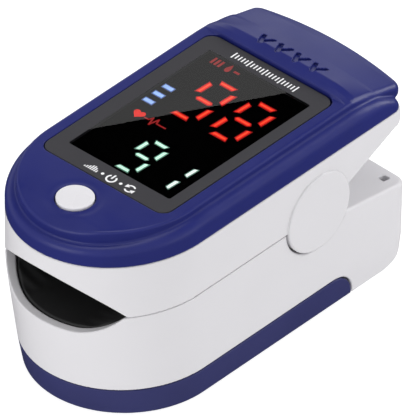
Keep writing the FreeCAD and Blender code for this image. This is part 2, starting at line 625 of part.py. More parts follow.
def lower_shell():
    body = new_body("lower_shell")
    loft(body, "PartDesign::AdditiveLoft", lower_outline(body, "band_plan", "band_z"),
         lower_outline(body, "split_plan", "split_z - seam"))
    loft(body, "PartDesign::AdditiveLoft", lower_outline(body, "foot_plan", "0"),
         lower_outline(body, "foot_top", "band_z"))
    heel = Drawing(body, "heel", "YZ_Plane")
    heel.polygon([("lower_rear - foot_round", "-wall"), ("lower_rear - foot_round", "0"),
                  ("lower_rear", "foot_round"), ("lower_rear + wall", "foot_round"),
                  ("lower_rear + wall", "-wall")], {1: ("foot_round", 1)})
    pocket(body, heel, "4 * half_width", both_ways=True)
    pocket(body, door_region(body, "door_space", "door_gap"), "4 * half_width", both_ways=True)
    heel_bay = Drawing(body, "heel_bay", level="rear_floor")
    heel_bay.rectangle("wall - foot_half", "foot_half - wall", "door_end - wall", "foot_rear - 2 * wall")
    pocket(body, heel_bay, "band_z + wall - rear_floor", backwards=True)
    bay = Drawing(body, "cell_bay", level="band_z")
    bay.jaw("base_half - wall", "base_len - wall", "base_y", "lower_rear - wall", "corner / 2", "rear_bulge")
    pocket(body, bay, "deck_z - band_z", backwards=True)
    trough = Drawing(body, "trough", level="split_z")
    trough.jaw("half_width - wall", "nose_len - wall", "nose_y", "shoulder_y", "corner / 2", "rear_bulge")
    pocket(body, trough, "split_z - deck_z - deck_thick")
    slope = Drawing(body, "shoulder", "YZ_Plane")
    slope.polygon([("shoulder_y - wall", "shoulder_z"), ("shoulder_y", "shoulder_z"),
                   ("lower_rear + wall", "shoulder_end_z - seam"), ("lower_rear + wall", "split_z + wall"),
                   ("shoulder_y - wall", "split_z + wall")])
    pocket(body, slope, "4 * half_width", both_ways=True)
    lip = Drawing(body, "finger_lip", "XZ_Plane", level="-(nose_y - nose_len / 2)")
    draw_lip(lip, "0")
    pocket(body, lip, "nose_len", backwards=True)
    for name, level in (("right", "half_width - wall - lobe_gap"), ("left", "-half_width - wall")):
        round_cut = Drawing(body, name + "_lobe_cut", "YZ_Plane", level=level)
        round_cut.circle("hinge_y", "hinge_z", "lobe_r + lobe_gap")
        pocket(body, round_cut, "2 * wall + lobe_gap", backwards=True)
    for name, level in (("right", "ear_in"), ("left", "-ear_out")):
        ear = Drawing(body, name + "_ear", "YZ_Plane", level=level)
        ear.polygon([("hinge_y - ear_r", "deck_z"), ("hinge_y + ear_r", "deck_z"),
                     ("hinge_y + ear_r", "hinge_z"), ("hinge_y - ear_r", "hinge_z")], {2: ("ear_r", 1)})
        pad(body, ear, "ear_out - ear_in")
    bore = Drawing(body, "ear_bore", "YZ_Plane")
    bore.circle("hinge_y", "hinge_z", "pin_r")
    pocket(body, bore, "2 * ear_out", both_ways=True)
    optic = Drawing(body, "sensor_opening", level="deck_z + deck_thick")
    optic.rectangle("-carrier_half_x - optic_gap", "carrier_half_x + optic_gap",
                    "optic_y - carrier_half_y - optic_gap", "optic_y + carrier_half_y + optic_gap")
    pocket(body, optic, "deck_thick")
    groove = Drawing(body, "ribbon_groove", level="deck_z + deck_thick")
    groove.rectangle("-ribbon_half - optic_gap", "ribbon_half + optic_gap", "optic_y",
                     "ribbon_y + ribbon_thick + optic_gap")
    pocket(body, groove, "deck_thick - carrier_thick + 0.05")
    screw_bore = Drawing(body, "tray_screw_bore", level="deck_z")
    screw_bore.circle("0", "tray_screw_y", "screw_r")
    pocket(body, screw_bore, "tray_screw_top - deck_z", backwards=True)
    strap = Drawing(body, "lanyard_top", level="shoulder_z")
    strap.rectangle("lanyard_x - lanyard_wide / 2", "lanyard_x + lanyard_wide / 2",
                    "lanyard_y - lanyard_long / 2", "lanyard_y + lanyard_long / 2")
    pocket(body, strap, "shoulder_z - lanyard_low")
    back = Drawing(body, "lanyard_back", "XZ_Plane", level="-lanyard_y")
    back.rectangle("lanyard_x - lanyard_wide / 2", "lanyard_x + lanyard_wide / 2", "lanyard_low",
                   "lanyard_low + lanyard_long")
    pocket(body, back, "2 * wall + corner", backwards=False)
    return node(body, "lower_shell")


def draw_lip(drawing, sink):
    """The lower half of the finger opening: a flat bottom that turns up in an arc on each side."""
    rise = "(lip_r - lip_top + lip_z)"
    reach = f"lip_half + sqrt(lip_r * lip_r - {rise} * {rise})"
    drawing.polygon([("-lip_half", f"lip_z - {sink}"), ("lip_half", f"lip_z - {sink}"),
                     (reach, f"lip_top - {sink}"), (f"-({reach})", f"lip_top - {sink}")],
                    {1: ("lip_r", 1), 3: ("lip_r", 1)})


def battery_cover():
    body = new_body("battery_cover")
    loft(body, "PartDesign::AdditiveLoft", lower_outline(body, "door_foot", "0"),
         lower_outline(body, "door_top", "band_z"))
    tail = Drawing(body, "door_tail", "YZ_Plane")
    tail.polygon([("door_end", "-wall"), ("door_end", "0"), ("door_end - door_round", "band_z - door_gap"),
                  ("-3 * half_width", "band_z - door_gap"), ("-3 * half_width", "2 * band_z"),
                  ("3 * half_width", "2 * band_z"), ("3 * half_width", "-wall")], {1: ("door_round", 1)})
    pocket(body, tail, "4 * half_width", both_ways=True)
    inner = Drawing(body, "door_inner", level="door_floor")
    inner.jaw("foot_half - door_wall", "foot_len - door_wall", "foot_y", "foot_rear + wall", "corner / 2",
              "rear_bulge")
    pocket(body, inner, "band_z", backwards=True)
    for i in range(3):
        grip = Drawing(body, f"grip_{i + 1}", level="0")
        middle = f"grip_y + {i} * grip_pitch"
        grip.rectangle("-grip_half", "grip_half", f"{middle} - grip_wide / 2", f"{middle} + grip_wide / 2")
        pocket(body, grip, "grip_deep", backwards=True)
    return node(body, "battery_cover")


def battery_tray():
    body = new_body("battery_tray")
    plan = Drawing(body, "tray_plan", level="tray_low")
    plan.polygon(tray_points("0"))
    pad(body, plan, "tray_top - tray_low")
    inner = Drawing(body, "tray_inner", level="tray_low")
    inner.polygon(tray_points("tray_wall"))
    pocket(body, inner, "tray_top - tray_roof - tray_low", backwards=True)
    rests = Drawing(body, "contact_rests", level="tray_low")
    rests.rectangle("cell_x - contact_half", "cell_x + contact_half - 1", "tray_front + tray_wall / 2",
                    "cell_b_y - cell_nub - contact_thick - 0.1")
    rests.rectangle("-cell_x - contact_half", "contact_half - cell_x",
                    "cell_a_y + cell_body + cell_nub + contact_thick + 0.1", "tray_back - tray_wall / 2")
    pad(body, rests, "tray_top - tray_low")
    rib = Drawing(body, "tray_rib", level="cell_z + cell_r - 1.6")
    rib.rectangle("-0.6", "0.6", "tray_front + tray_wall / 2", "tray_back - tray_wall / 2")
    pad(body, rib, "tray_top - cell_z - cell_r + 1.6")
    rounds = (("tray_boss", "boss_r + wall / 5", "tray_top - tray_screw_low", pad),
              ("tray_head_pocket", "screw_head_r + screw_clear", "screw_head + screw_clear", pocket),
              ("tray_shank_hole", "screw_r + screw_clear", "tray_top - tray_low", pocket))
    for name, radius, height, make in rounds:
        drawing = Drawing(body, name, level="tray_screw_low")
        drawing.circle("0", "tray_screw_y", radius)
        make(body, drawing, height, backwards=make is pocket)
    return node(body, "battery_tray")


def tray_points(inset):
    """Plan of the tray, drawn in by inset: straight sides, narrowed at the nose end."""
    front, back, knee = f"tray_front + {inset}", f"tray_back - {inset}", f"tray_knee + {inset} / 2"
    left, right = f"{inset} - tray_half", f"tray_half - {inset}"
    return [(f"{inset} - tray_nose_half", front), (f"tray_nose_half - {inset}", front), (right, knee),
            (right, back), (left, back), (left, knee)]


def cell(name, x, start, nub_first):
    """AAA cell along Y: the can, and the positive nub at one end."""
    can = rod(name + "_can", "cell_r", "y", start, f"{start} + cell_body", (x, "cell_z"))
    if nub_first:
        nub = rod(name + "_nub", "cell_nub_r", "y", f"{start} - cell_nub", f"{start} + 1", (x, "cell_z"))
    else:
        nub = rod(name + "_nub", "cell_nub_r", "y", f"{start} + cell_body - 1",
                  f"{start} + cell_body + cell_nub", (x, "cell_z"))
    return node(fuse(name + "_solid", [can, nub]), name)


def coil(name, radius, wire, pitch, turns, start, direction):
    """A helical wire whose axis starts at start and runs along direction."""
    helix = Part.makeHelix(pitch, pitch * turns, radius)
    profile = Part.Wire([Part.Circle(V(radius, 0, 0), V(0, 1, 0), wire).toShape()])
    solid = Part.Wire(helix).makePipeShell([profile], True, True)
    obj = doc.addObject("Part::Feature", name)
    obj.Shape = solid
    obj.Placement = FreeCAD.Placement(start, FreeCAD.Rotation(V(0, 0, 1), direction))
    return obj


def battery_springs():
    """The two negative contacts, each a short coil between the tray's wall and a cell."""
    wire = num("spring_wire")
    front = num("tray_front + tray_wall") + wire + 0.1
    front_gap = num("cell_a_y") - wire - 0.1 - front
    back = num("cell_b_y + cell_body") + wire + 0.1
    back_gap = num("tray_back - tray_wall") - wire - 0.1 - back
    turns = num("spring_turns")
    made = [coil("spring_a", num("spring_r"), wire, front_gap / turns, turns,
                 V(-num("cell_x"), front, num("cell_z")), V(0, 1, 0)),
            coil("spring_b", num("spring_r"), wire, back_gap / turns, turns,
                 V(num("cell_x"), back, num("cell_z")), V(0, 1, 0))]
    return node(group("battery_spring_pair", made), "battery_springs")


def contact_plates():
    """The two positive contacts, flat plates on the tray's rests."""
    tall = ("contact_low", "contact_high")
    front = box("plate_front", ("cell_x - contact_half + 0.6", "cell_x + contact_half - 1.6"),
                ("cell_b_y - cell_nub - contact_thick - 0.1", "cell_b_y - cell_nub - 0.1"), tall)
    back = box("plate_back", ("0.6 - cell_x - contact_half", "contact_half - cell_x - 0.6"),
               ("cell_a_y + cell_body + cell_nub + 0.1",
                "cell_a_y + cell_body + cell_nub + contact_thick + 0.1"), tall)
    return node(group("plate_pair", [front, back]), "contact_plates")


def lower_finger_pad():
    body = finger_pad("lower_finger_pad", "deck_z + deck_thick", "low_pad_top",
                      lambda d: draw_lip(d, "pad_sink"))
    return node(body, "lower_finger_pad")


def sensor():
    carrier, diode, lens = optics("sensor", "deck_z", "deck_z + carrier_thick + 0.1",
                                  "lip_z - pad_sink - optic_thick")
    node(carrier, "sensor_board")
    node(diode, "photodiode")
    node(lens, "sensor_window")


def hinge_pin():
    return node(rod("pin_rod", "pin_r", "x", "-pin_half", "pin_half", ("hinge_y", "hinge_z")), "hinge_pin")


def wire_leg(name, points, radius):
    """A straight-sided run of round wire through the given points."""
    runs = []
    for i, (a, b) in enumerate(zip(points, points[1:])):
        runs.append(Part.makeCylinder(radius, (b - a).Length, a, b - a))
        if i:
            runs.append(Part.makeSphere(radius, a))
    solid = runs[0].multiFuse(runs[1:]) if len(runs) > 1 else runs[0]
    obj = doc.addObject("Part::Feature", name)
    obj.Shape = solid
    return obj


def torsion_springs():
    """Two torsion springs on the hinge pin. Each coil and its lower leg stay with the lower jaw."""
    wire, radius, pitch = num("coil_wire"), num("coil_r"), num("coil_pitch")
    turns = num("coil_turns")
    y, z = num("hinge_y"), num("hinge_z")
    for sign, name in ((1, "right"), (-1, "left")):
        start = num("coil_in") * sign
        winding = coil(name + "_winding", radius, wire, pitch, turns, V(start, y, z), V(sign, 0, 0))
        x = start - sign * 0.9
        foot = V(x, y + 4.6, num("deck_z + deck_thick") + wire)
        leg = wire_leg(name + "_leg", [V(x, y, z - radius), foot], wire)
        node(group(name + "_spring", [winding, leg]), f"torsion_spring_{name}")


def spring_arms():
    """The springs' upper legs. They press under the rear of the upper jaw and turn with it."""
    wire, radius, pitch = num("coil_wire"), num("coil_r"), num("coil_pitch")
    reach = num("coil_in + coil_turns * coil_pitch")
    y, z = num("hinge_y"), num("hinge_z")
    legs = []
    for sign, name in ((1, "right"), (-1, "left")):
        x = sign * (reach + 0.9)
        low, high = V(x, y - 0.2, z + radius + pitch / 8), V(x, y + 4.2, num("floor_z") - wire)
        legs.append(wire_leg(name + "_arm", [low, high], wire))
    return node(group("arm_pair", legs), "spring_arms")


def ribbon_cable():
    """The ribbon from the sensor board to the main board, in two halves that part at the hinge's height."""
    thick = "ribbon_thick"
    wide = ("-ribbon_half", "ribbon_half")
    upright = ("ribbon_y", f"ribbon_y + {thick}")
    run = box("ribbon_run", wide, ("ribbon_front", f"ribbon_y + {thick}"),
              ("deck_z + carrier_thick", f"deck_z + carrier_thick + {thick}"))
    rise = box("ribbon_rise", wide, upright, ("deck_z + carrier_thick", "hinge_z - ribbon_gap"))
    drop = box("ribbon_drop", wide, upright, ("hinge_z + ribbon_gap", "board_z"))
    node(fuse("ribbon_below", [run, rise]), "ribbon_lower")
    node(drop, "ribbon_upper")


def tray_screw():
    solid = screw("tray_screw_solid", "0", "tray_screw_y", "tray_screw_low", "tray_screw_top")
    return node(solid, "tray_screw")


# ---------------------------------------------------------------- build and write

top_cover()
upper_shell()
display_window()
display_module()
display_segments()
main_board()
board_chips()
tact_switch()
power_button()
upper_finger_pad()
emitter()
cover_screws()
lower_shell()
battery_cover()
battery_tray()
cell("cell_left", "-cell_x", "cell_a_y", False)
cell("cell_right", "cell_x", "cell_b_y", True)
battery_springs()
contact_plates()
lower_finger_pad()
sensor()
hinge_pin()
torsion_springs()
spring_arms()
tray_screw()
ribbon_cable()
doc.recompute()

for obj in doc.Objects:
    if "Invalid" in obj.State or "Error" in obj.State:
        raise RuntimeError(f"{obj.Name} did not compute: {obj.State}")
for obj in nodes:
    if obj.Shape.isNull() or not obj.Shape.isValid() or not obj.Shape.Solids:
        raise RuntimeError(f"{obj.Label} has no valid solid")
os.makedirs("parts", exist_ok=True)
for obj in nodes:
    obj.Shape.exportStep(f"parts/{obj.Label}.step")
    print(f"{obj.Label}: {len(obj.Shape.Solids)} solid(s), {obj.Shape.Volume:.1f} mm3")
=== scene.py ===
import math

import bpy
import numpy as np
from mathutils import Matrix, Vector


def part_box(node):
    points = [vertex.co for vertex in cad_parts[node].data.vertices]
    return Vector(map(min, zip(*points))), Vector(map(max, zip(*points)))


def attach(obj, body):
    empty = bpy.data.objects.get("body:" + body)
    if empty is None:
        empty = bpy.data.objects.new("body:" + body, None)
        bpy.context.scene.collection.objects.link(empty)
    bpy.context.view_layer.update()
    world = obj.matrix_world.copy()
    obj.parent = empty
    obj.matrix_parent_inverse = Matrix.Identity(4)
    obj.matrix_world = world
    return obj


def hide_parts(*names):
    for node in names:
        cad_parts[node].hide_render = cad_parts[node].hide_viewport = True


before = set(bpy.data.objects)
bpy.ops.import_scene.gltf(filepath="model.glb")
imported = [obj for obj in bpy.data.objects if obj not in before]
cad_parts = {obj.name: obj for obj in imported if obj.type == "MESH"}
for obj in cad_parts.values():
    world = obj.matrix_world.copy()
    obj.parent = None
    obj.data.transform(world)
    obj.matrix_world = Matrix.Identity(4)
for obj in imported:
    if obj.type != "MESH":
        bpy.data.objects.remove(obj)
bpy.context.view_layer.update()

# The oximeter is built in millimetres and scaled to metres as each mesh is made.
MM = 0.001
STEP = 0.24

# Heights of the jaws' split, the cover's foot, its plateau, and the floors of the two jaws' cavities.
SPLIT, COVER, PLATEAU, FLOOR, TROUGH = 18.85, 27.9, 33.0, 25.3, 13.9
WALL, NOSE_Y = 1.4, -13.9
HINGE_Y, HINGE_Z, LOBE = 10.6, 19.4, 6.4
ARCH_R, ARCH_Z = 14.0, 10.8
# The finger opening stops at OPENING_Y. The optics' pocket and the ribbon's path are rectangles in plan.
OPENING_Y = -5.0
CARRIER = (-4.0, 4.0, -13.0, -6.0)
BUTTON_Y, BUTTON_R = -23.15, 2.78
# The battery cover's rear end and top, and the lower shell's shoulder, which falls away behind SHOULDER_Y.
DOOR_END, DOOR_TOP = 18.4, 4.6
SHOULDER_Y, SHOULDER_Z, SHOULDER_FALL = 16.3, 16.22, 0.1525
# The notch behind the hinge, and how its upper side climbs to the tail.
NOTCH_Y, NOTCH_CLIMB, TAIL_Y = 17.2, 0.4433, 26.9
WINDOW_HALF, WINDOW_FRONT, WINDOW_BACK, WINDOW_CORNER = 11.9, -17.75, 18.05, 1.8
WINDOW_THICK = 1.2
# The clear part of the window, and how far the display's contents sit from where they are drawn below.
VIEW = (-9.35, 9.95, -14.45, 14.95)
SHOW_X, SHOW_Y = -0.54, 0.48
SCREWS = [(9.2, -20.6), (-9.2, -20.6), (11.9, 13.5), (-11.9, 13.5)]


# ---------------------------------------------------------------- distance fields, in millimetres

def both(a, b, r=0.0):
    """Where a and b are both inside, with the edge between them rounded to radius r."""
    if np.isscalar(r) and r <= 0:
        return np.maximum(a, b)
    u, v = a + r, b + r
    return np.minimum(np.maximum(u, v), 0) + np.hypot(np.maximum(u, 0), np.maximum(v, 0)) - r


def either(a, b, r=0.0):
    """Where a or b is inside, with the inner corner between them filled to radius r."""
    return -both(-a, -b, r)


def without(a, b, r=0.0):
    return both(a, -b, r)


def plan(x, y, half, length, nose_y, rear_y, corner=1.8, bow=0.35):
    """Plan of a jaw: half an ellipse for a nose, straight sides, a slightly bowed rear."""
    front = np.minimum(y - nose_y, 0)
    k = np.maximum(np.hypot(x / half, front / length), 1e-6)
    g = np.maximum(np.hypot(x / half ** 2, front / length ** 2), 1e-9)
    side = k * (k - 1) / g
    rear = y - rear_y - bow * (1 - (x / (half - corner)) ** 2)
    return both(side, rear, corner)


def box2(x, y, x0, x1, y0, y1, r=0.0):
    """A rectangle with corners of radius r."""
    u = np.abs(x - (x0 + x1) / 2) - (x1 - x0) / 2 + r
    v = np.abs(y - (y0 + y1) / 2) - (y1 - y0) / 2 + r
    return np.minimum(np.maximum(u, v), 0) + np.hypot(np.maximum(u, 0), np.maximum(v, 0)) - r


def between(z, low, high):
    return np.maximum(low - z, z - high)


def smooth_table(points, reach, fine=0.05):
    """A profile through points, rounded over the given reach."""
    xs = np.arange(points[0][0], points[-1][0], fine)
    zs = np.interp(xs, [p[0] for p in points], [p[1] for p in points])
    count = int(2 * reach / fine) | 1
    padded = np.pad(zs, count // 2, mode="edge")
    return xs, np.convolve(padded, np.ones(count) / count, mode="valid")


# Side views of the cover, as (y, z): its plateau, how far the push pad rises above that, and its rim.
CROWN = smooth_table([(-34, 31.2), (-30.9, 31.6), (-28.4, 32.3), (-26.2, 32.95), (-22.5, 33.05), (-17, 33.0),
                      (18.4, 33.0), (32.5, 33.0)], 0.8)
PAD_RISE = smooth_table([(17.0, 0), (18.3, 0), (18.42, 0.5), (20.6, 0.85), (28.9, -1.3), (32.5, -2.6)], 0.1)
RIM_TOP = smooth_table([(-34, 30.2), (-30.9, 30.4), (-26, 30.9), (-20, 31.5), (-12, 31.9), (20.0, 31.9),
                        (24.5, 31.1), (29.0, 28.9), (32, 27.5)], 1.5)


def lower_plan(x, y, z):
    """The lower jaw's outline, which widens from its foot to the split."""
    q = np.clip(z / 4.8, -0.3, 1)
    s = np.clip((z - 4.8) / 13.95, 0, 1.05)
    return plan(x, y, 14.75 + 0.4 * q + 0.35 * s, 15.2 + 0.65 * q + 1.2 * s, -12.4 - 0.35 * q - 1.15 * s,
                29.35 + 0.3 * q, 1.8, 0.35)


def door_side(y, z, clear):
    """Side view of the battery cover, with its rounded rear end."""
    return both(y - DOOR_END - clear, z - DOOR_TOP - clear, 4.4)


def lip(x, z, sink=0.0):
    """Outline of the lower half of the finger opening: a flat bottom between two arcs."""
    return np.hypot(np.maximum(np.abs(x) - 4.25, 0), z - 24.45 + sink) - 9.0


def crown(x, y):
    """Height of the cover's raised surface: flat, drooping at the nose, swelling into the push pad."""
    fade = np.clip((13.5 - np.abs(x)) / 4.5, 0, 1)
    rise = np.interp(y, *PAD_RISE)
    droop = 1.0 * (x / 13.6) ** 2 * np.clip((y - 19.5) / 5.0, 0, 1)
    return np.interp(y, *CROWN) + np.where(rise > 0, rise * fade * (2 - fade), rise) - droop


def chevrons(x, y):
    """Moulded arrowheads on the push pad, pointing at the display: two rounded strokes each."""
    half, length, stroke, pitch = 0.95, 1.9, 0.34, 3.3
    marks = np.full_like(x, 9.0)
    for i in range(4):
        across, along = np.abs(x - 0.2 - (i - 1.5) * pitch), y - 20.5
        share = np.clip((across * half + along * length) / (half ** 2 + length ** 2), 0, 1)
        marks = np.minimum(marks, np.hypot(across - half * share, along - length * share) - stroke)
    return marks


def top_cover_field(x, y, z):
    rim_top = np.interp(y, *RIM_TOP)
    roll = 1.1 + 0.9 * np.clip((rim_top - 30.4) / 1.5, 0, 1)
    rim = both(plan(x, y, 15.5, 17.05, NOSE_Y, 28.6), z - rim_top, roll)
    rim = both(rim, COVER - z, 0.15)
    top = crown(x, y)
    edge = 0.45 + 0.45 * np.clip((y - 17.0) / 6.0, 0, 1)
    plateau = both(plan(x, y, 13.9, 15.45, NOSE_Y, 30.2, 1.5, 0.9), z - top, edge)
    plateau = both(plateau, 28.3 - z, 0.9)
    body = either(rim, plateau, 0.35)
    hollow = np.minimum(both(plan(x, y, 14.1, 15.65, NOSE_Y, 22.1, 0.9), z - 29.5),
                        both(plan(x, y, 11.6, 13.2, NOSE_Y, 27.4, 0.9), z - 30.6))
    body = without(body, hollow, 0.15)
    for px, py in SCREWS:
        post = both(np.hypot(x - px, y - py) - 1.7, between(z, COVER + 0.02, 30.6))
        body = without(np.minimum(body, post), both(np.hypot(x - px, y - py) - 0.76, z - 30.2))
    recess = both(box2(x, y, -WINDOW_HALF - 0.09, WINDOW_HALF + 0.09, WINDOW_FRONT - 0.09, WINDOW_BACK + 0.30,
                       WINDOW_CORNER), 31.72 - z)
    body = without(body, recess, 0.12)
    body = without(body, box2(x, y, -10.3, 10.3, -15.4, 16.1, 0.5))
    around = np.hypot(x, y - BUTTON_Y)
    dish = 0.07 * np.exp(-((around - 3.6) / 0.6) ** 2)
    body = body + np.where(z > 31.2, dish, 0)
    body = without(body, around - 2.93, 0.15)
    return without(body, both(chevrons(x, y), top - 0.45 - z, 0.1), 0.06)


def rear_line(y, lift=0.0):
    """The underside of the upper jaw's rear end, which climbs from the notch to the tail."""
    slope = 20.8 + (y - NOTCH_Y) * NOTCH_CLIMB + lift
    tail = 25.1 + (y - TAIL_Y) * 0.2 + lift * 0.92
    return np.where(y < TAIL_Y, slope, tail)


def upper_shell_field(x, y, z):
    upright = 0.914
    body = both(plan(x, y, 15.5, 17.05, NOSE_Y, 28.9), SPLIT + 0.03 - z, 0.05)
    body = both(body, z - COVER + 0.03, 0.15)
    notch = both(NOTCH_Y - y, (z - rear_line(y)) * upright)
    body = without(body, notch, 0.45)
    inner = plan(x, y, 14.1, 15.65, NOSE_Y, 27.5, 0.9)
    body = without(body, both(inner, np.maximum(z - FLOOR, y - 16.0)), 0.15)
    body = without(body, both(inner, np.maximum(FLOOR + 1.0 - z, y - 16.0)))
    body = without(body, both(both(inner, (rear_line(y, 1.25) - z) * upright), NOTCH_Y - y))
    arch = both(np.hypot(x, z - ARCH_Z) - ARCH_R, y - OPENING_Y)
    body = without(body, arch, 0.5)
    carrier = box2(x, y, *CARRIER, 0.1)
    ribbon = box2(x, y, -2.5, 2.5, 7.8, 8.2)
    body = without(body, np.minimum(carrier, ribbon))
    for px, py in SCREWS:
        around = np.hypot(x - px, y - py)
        body = np.minimum(body, both(around - 2.15, between(z, FLOOR + 0.02, COVER - 0.05)))
        body = without(body, np.minimum(around - 0.85, both(around - 1.7, z - 26.5)))
    radius = np.hypot(y - HINGE_Y, z - HINGE_Z)
    lobe = both(radius - LOBE, between(np.abs(x), 14.1, 15.75), 0.22)
    body = np.minimum(body, lobe)
    boss = both(radius - 2.6, between(np.abs(x), 12.6, 14.3), 0.1)
    body = np.minimum(body, boss)
    return without(body, both(radius - 1.05, np.abs(x) - 14.9))


def lower_shell_field(x, y, z):
    body = both(lower_plan(x, y, z), z - SPLIT + 0.03, 0.05)
    shoulder = (z - SHOULDER_Z + np.maximum(y - SHOULDER_Y, 0) * SHOULDER_FALL) * 0.9885
    body = without(body, both(SHOULDER_Y - WALL - y, -shoulder), 0.55)
    body = both(body, both(y - 29.95, -z, 5.0), 0.35)
    body = without(body, door_side(y, z, 0.2), 0.15)
    bay = both(plan(x, y, 13.6, 14.45, -12.75, 28.25, 0.9), between(z, DOOR_TOP, 12.9))
    heel = both(box2(x, y, -13.1, 13.1, 16.0, 26.55, 0.6), between(z, 1.3, 6.2), 0.5)
    body = without(body, np.minimum(bay, heel))
    inside = both(lower_plan(x, y, z) + WALL, y - SHOULDER_Y, 0.9)
    body = without(body, both(inside, TROUGH - z), 0.15)
    body = without(body, both(lip(x, z), y + 5.4), 0.2)
    radius = np.hypot(y - HINGE_Y, z - HINGE_Z)
    body = without(body, both(radius - LOBE - 0.3, 13.8 - np.abs(x)), 0.2)
    ear = np.minimum(radius - 2.8, box2(y, z, HINGE_Y - 2.8, HINGE_Y + 2.8, 13.0, HINGE_Z))
    ear = both(ear, between(np.abs(x), 10.3, 12.3), 0.2)
    body = either(body, ear, 0.3)
    body = without(body, radius - 1.01)
    carrier = both(box2(x, y, *CARRIER, 0.1), between(z, 12.0, 14.5))
    groove = both(box2(x, y, -2.5, 2.5, -9.5, 8.2), between(z, 13.65, 14.5))
    screw = both(np.hypot(x, y - 19.5) - 0.76, between(z, 12.0, 15.0))
    body = without(body, np.minimum(np.minimum(carrier, groove), screw))
    slot = np.minimum(both(box2(x, y, 12.2, 13.4, 26.7, 28.0, 0.3), 10.6 - z),
                      both(box2(x, z, 12.2, 13.4, 10.6, 12.3, 0.3), 27.2 - y))
    return without(body, slot, 0.10)


def battery_cover_field(x, y, z):
    body = both(both(lower_plan(x, y, z), -z, 0.3), door_side(y, z, 0.0), 0.2)
    hollow = both(plan(x, y, 13.2, 13.9, -12.4, 40.0), np.maximum(1.2 - z, y - DOOR_END + 1.4))
    body = without(body, hollow, 0.2)
    grips = np.full_like(x, 9.0)
    for i in range(5):
        bow = 0.02 * x * x
        grips = np.minimum(grips, np.hypot(np.maximum(np.abs(x) - 5.0, 0), y + 18.2 - i * 1.9 + bow) - 0.45)
    return without(body, both(grips, z - 0.38, 0.15), 0.15)


def finger_pad_block(x, y, low, high, z):
    """A finger pad before its channel is cut, and the window in it for the light."""
    outline = np.maximum(plan(x, y, 13.95, 15.5, NOSE_Y, 4.6, 0.9, 0.15), lower_plan(x, y, z) + WALL + 0.15)
    block = both(outline, between(z, low, high), 0.2)
    optic = box2(x, y, -2.7, 2.7, -11.8, -7.2, 0.4)
    return block, optic


def pad_ribs(x, y):
    """Low ribs across a finger pad's sides, every 2.2 mm."""
    return 0.10 * np.cos(2 * math.pi * y / 2.2) * np.clip((np.abs(x) - 4.5) / 1.5, 0, 1)


def upper_pad_field(x, y, z):
    block, optic = finger_pad_block(x, y, 19.05, FLOOR, z)
    channel = both(np.hypot(x, z - ARCH_Z) - 13.75, y - 3.6, 1.2)
    return without(without(block, channel - pad_ribs(x, y), 0.5), optic, 0.3)


def lower_pad_field(x, y, z):
    block, optic = finger_pad_block(x, y, TROUGH, 18.6, z)
    channel = both(lip(x, z, -0.12), y - 3.6, 1.2)
    return without(without(block, channel - pad_ribs(x, y), 0.5), optic, 0.3)


def button_field(x, y, z):
    around = np.hypot(x, y - BUTTON_Y)
    top = 33.36 - 0.12 * (around / BUTTON_R) ** 2
    cap = both(around - BUTTON_R, np.maximum(z - top, 29.2 - z), 0.16)
    flange = both(around - 3.5, between(z, 29.2, 29.9), 0.1)
    stem = both(around - 1.0, between(z, 28.9, 29.4), 0.08)
    return np.minimum(np.minimum(cap, flange), stem)


# ---------------------------------------------------------------- meshes from fields

def gradient(field, p, e=0.03):
    g = np.empty_like(p)
    for axis in range(3):
        step = np.zeros(3)
        step[axis] = e
        ahead, behind = p + step, p - step
        g[:, axis] = (field(*ahead.T) - field(*behind.T)) / (2 * e)
    return g


def settle(field, p, rounds=4, reach=0.2):
    """Move points onto the field's surface."""
    for _ in range(rounds):
        g = gradient(field, p)
        size = np.maximum((g * g).sum(1), 0.2)
        move = g * (field(*p.T) / size)[:, None]
        length = np.linalg.norm(move, axis=1)
        move *= np.minimum(1, reach / np.maximum(length, 1e-9))[:, None]
        p = p - move
    return p


def net(field, low, high, step):
    """Vertices and quads of a field's surface, one vertex to each grid cell that it crosses."""
    axes = [np.arange(a - 2.5 * step, b + 3 * step, step) for a, b in zip(low, high)]
    f = np.empty([len(a) for a in axes])
    yy, zz = np.meshgrid(axes[1], axes[2], indexing="ij")
    for i in range(0, len(axes[0]), 24):
        part = axes[0][i:i + 24]
        shape = (len(part), *yy.shape)
        f[i:i + 24] = field(np.broadcast_to(part[:, None, None], shape), np.broadcast_to(yy, shape),
                            np.broadcast_to(zz, shape))
    cells = np.array(f.shape)
    total, count, edges = np.zeros((f.size, 3)), np.zeros(f.size), []
    strides = np.array([cells[1] * cells[2], cells[2], 1])
    for axis in range(3):
        a = np.take(f, range(cells[axis] - 1), axis)
        b = np.take(f, range(1, cells[axis]), axis)
        where = np.argwhere((a < 0) != (b < 0))
        va, vb = a[tuple(where.T)], b[tuple(where.T)]
        spot = where.astype(float)
        spot[:, axis] += va / (va - vb)
        u, v = (axis + 1) % 3, (axis + 2) % 3
        base = where @ strides
        around = [base, base - strides[u], base - strides[u] - strides[v], base - strides[v]]
        for cell in around:
            for c in range(3):
                total[:, c] += np.bincount(cell, spot[:, c], f.size)
            count += np.bincount(cell, minlength=f.size)
        quads = np.stack(around, 1)
        quads[va > 0] = quads[va > 0][:, ::-1]
        edges.append(quads)
    used = np.flatnonzero(count)
    index = np.full(f.size, -1)
    index[used] = np.arange(len(used))
    points = total[used] / count[used][:, None]
    points = points * step + np.array([a[0] for a in axes])
    return points, index[np.concatenate(edges)]


def mesh_piece(name, points, faces, material, smooth=True):
    mesh = bpy.data.meshes.new(name)
    mesh.from_pydata((np.asarray(points) * MM).tolist(), [], [list(f) for f in faces])
    mesh.update()
    if smooth:
        mesh.shade_smooth()
    obj = bpy.data.objects.new(name, mesh)
    bpy.context.scene.collection.objects.link(obj)
    if material is not None:
        mesh.materials.append(material)
    return obj


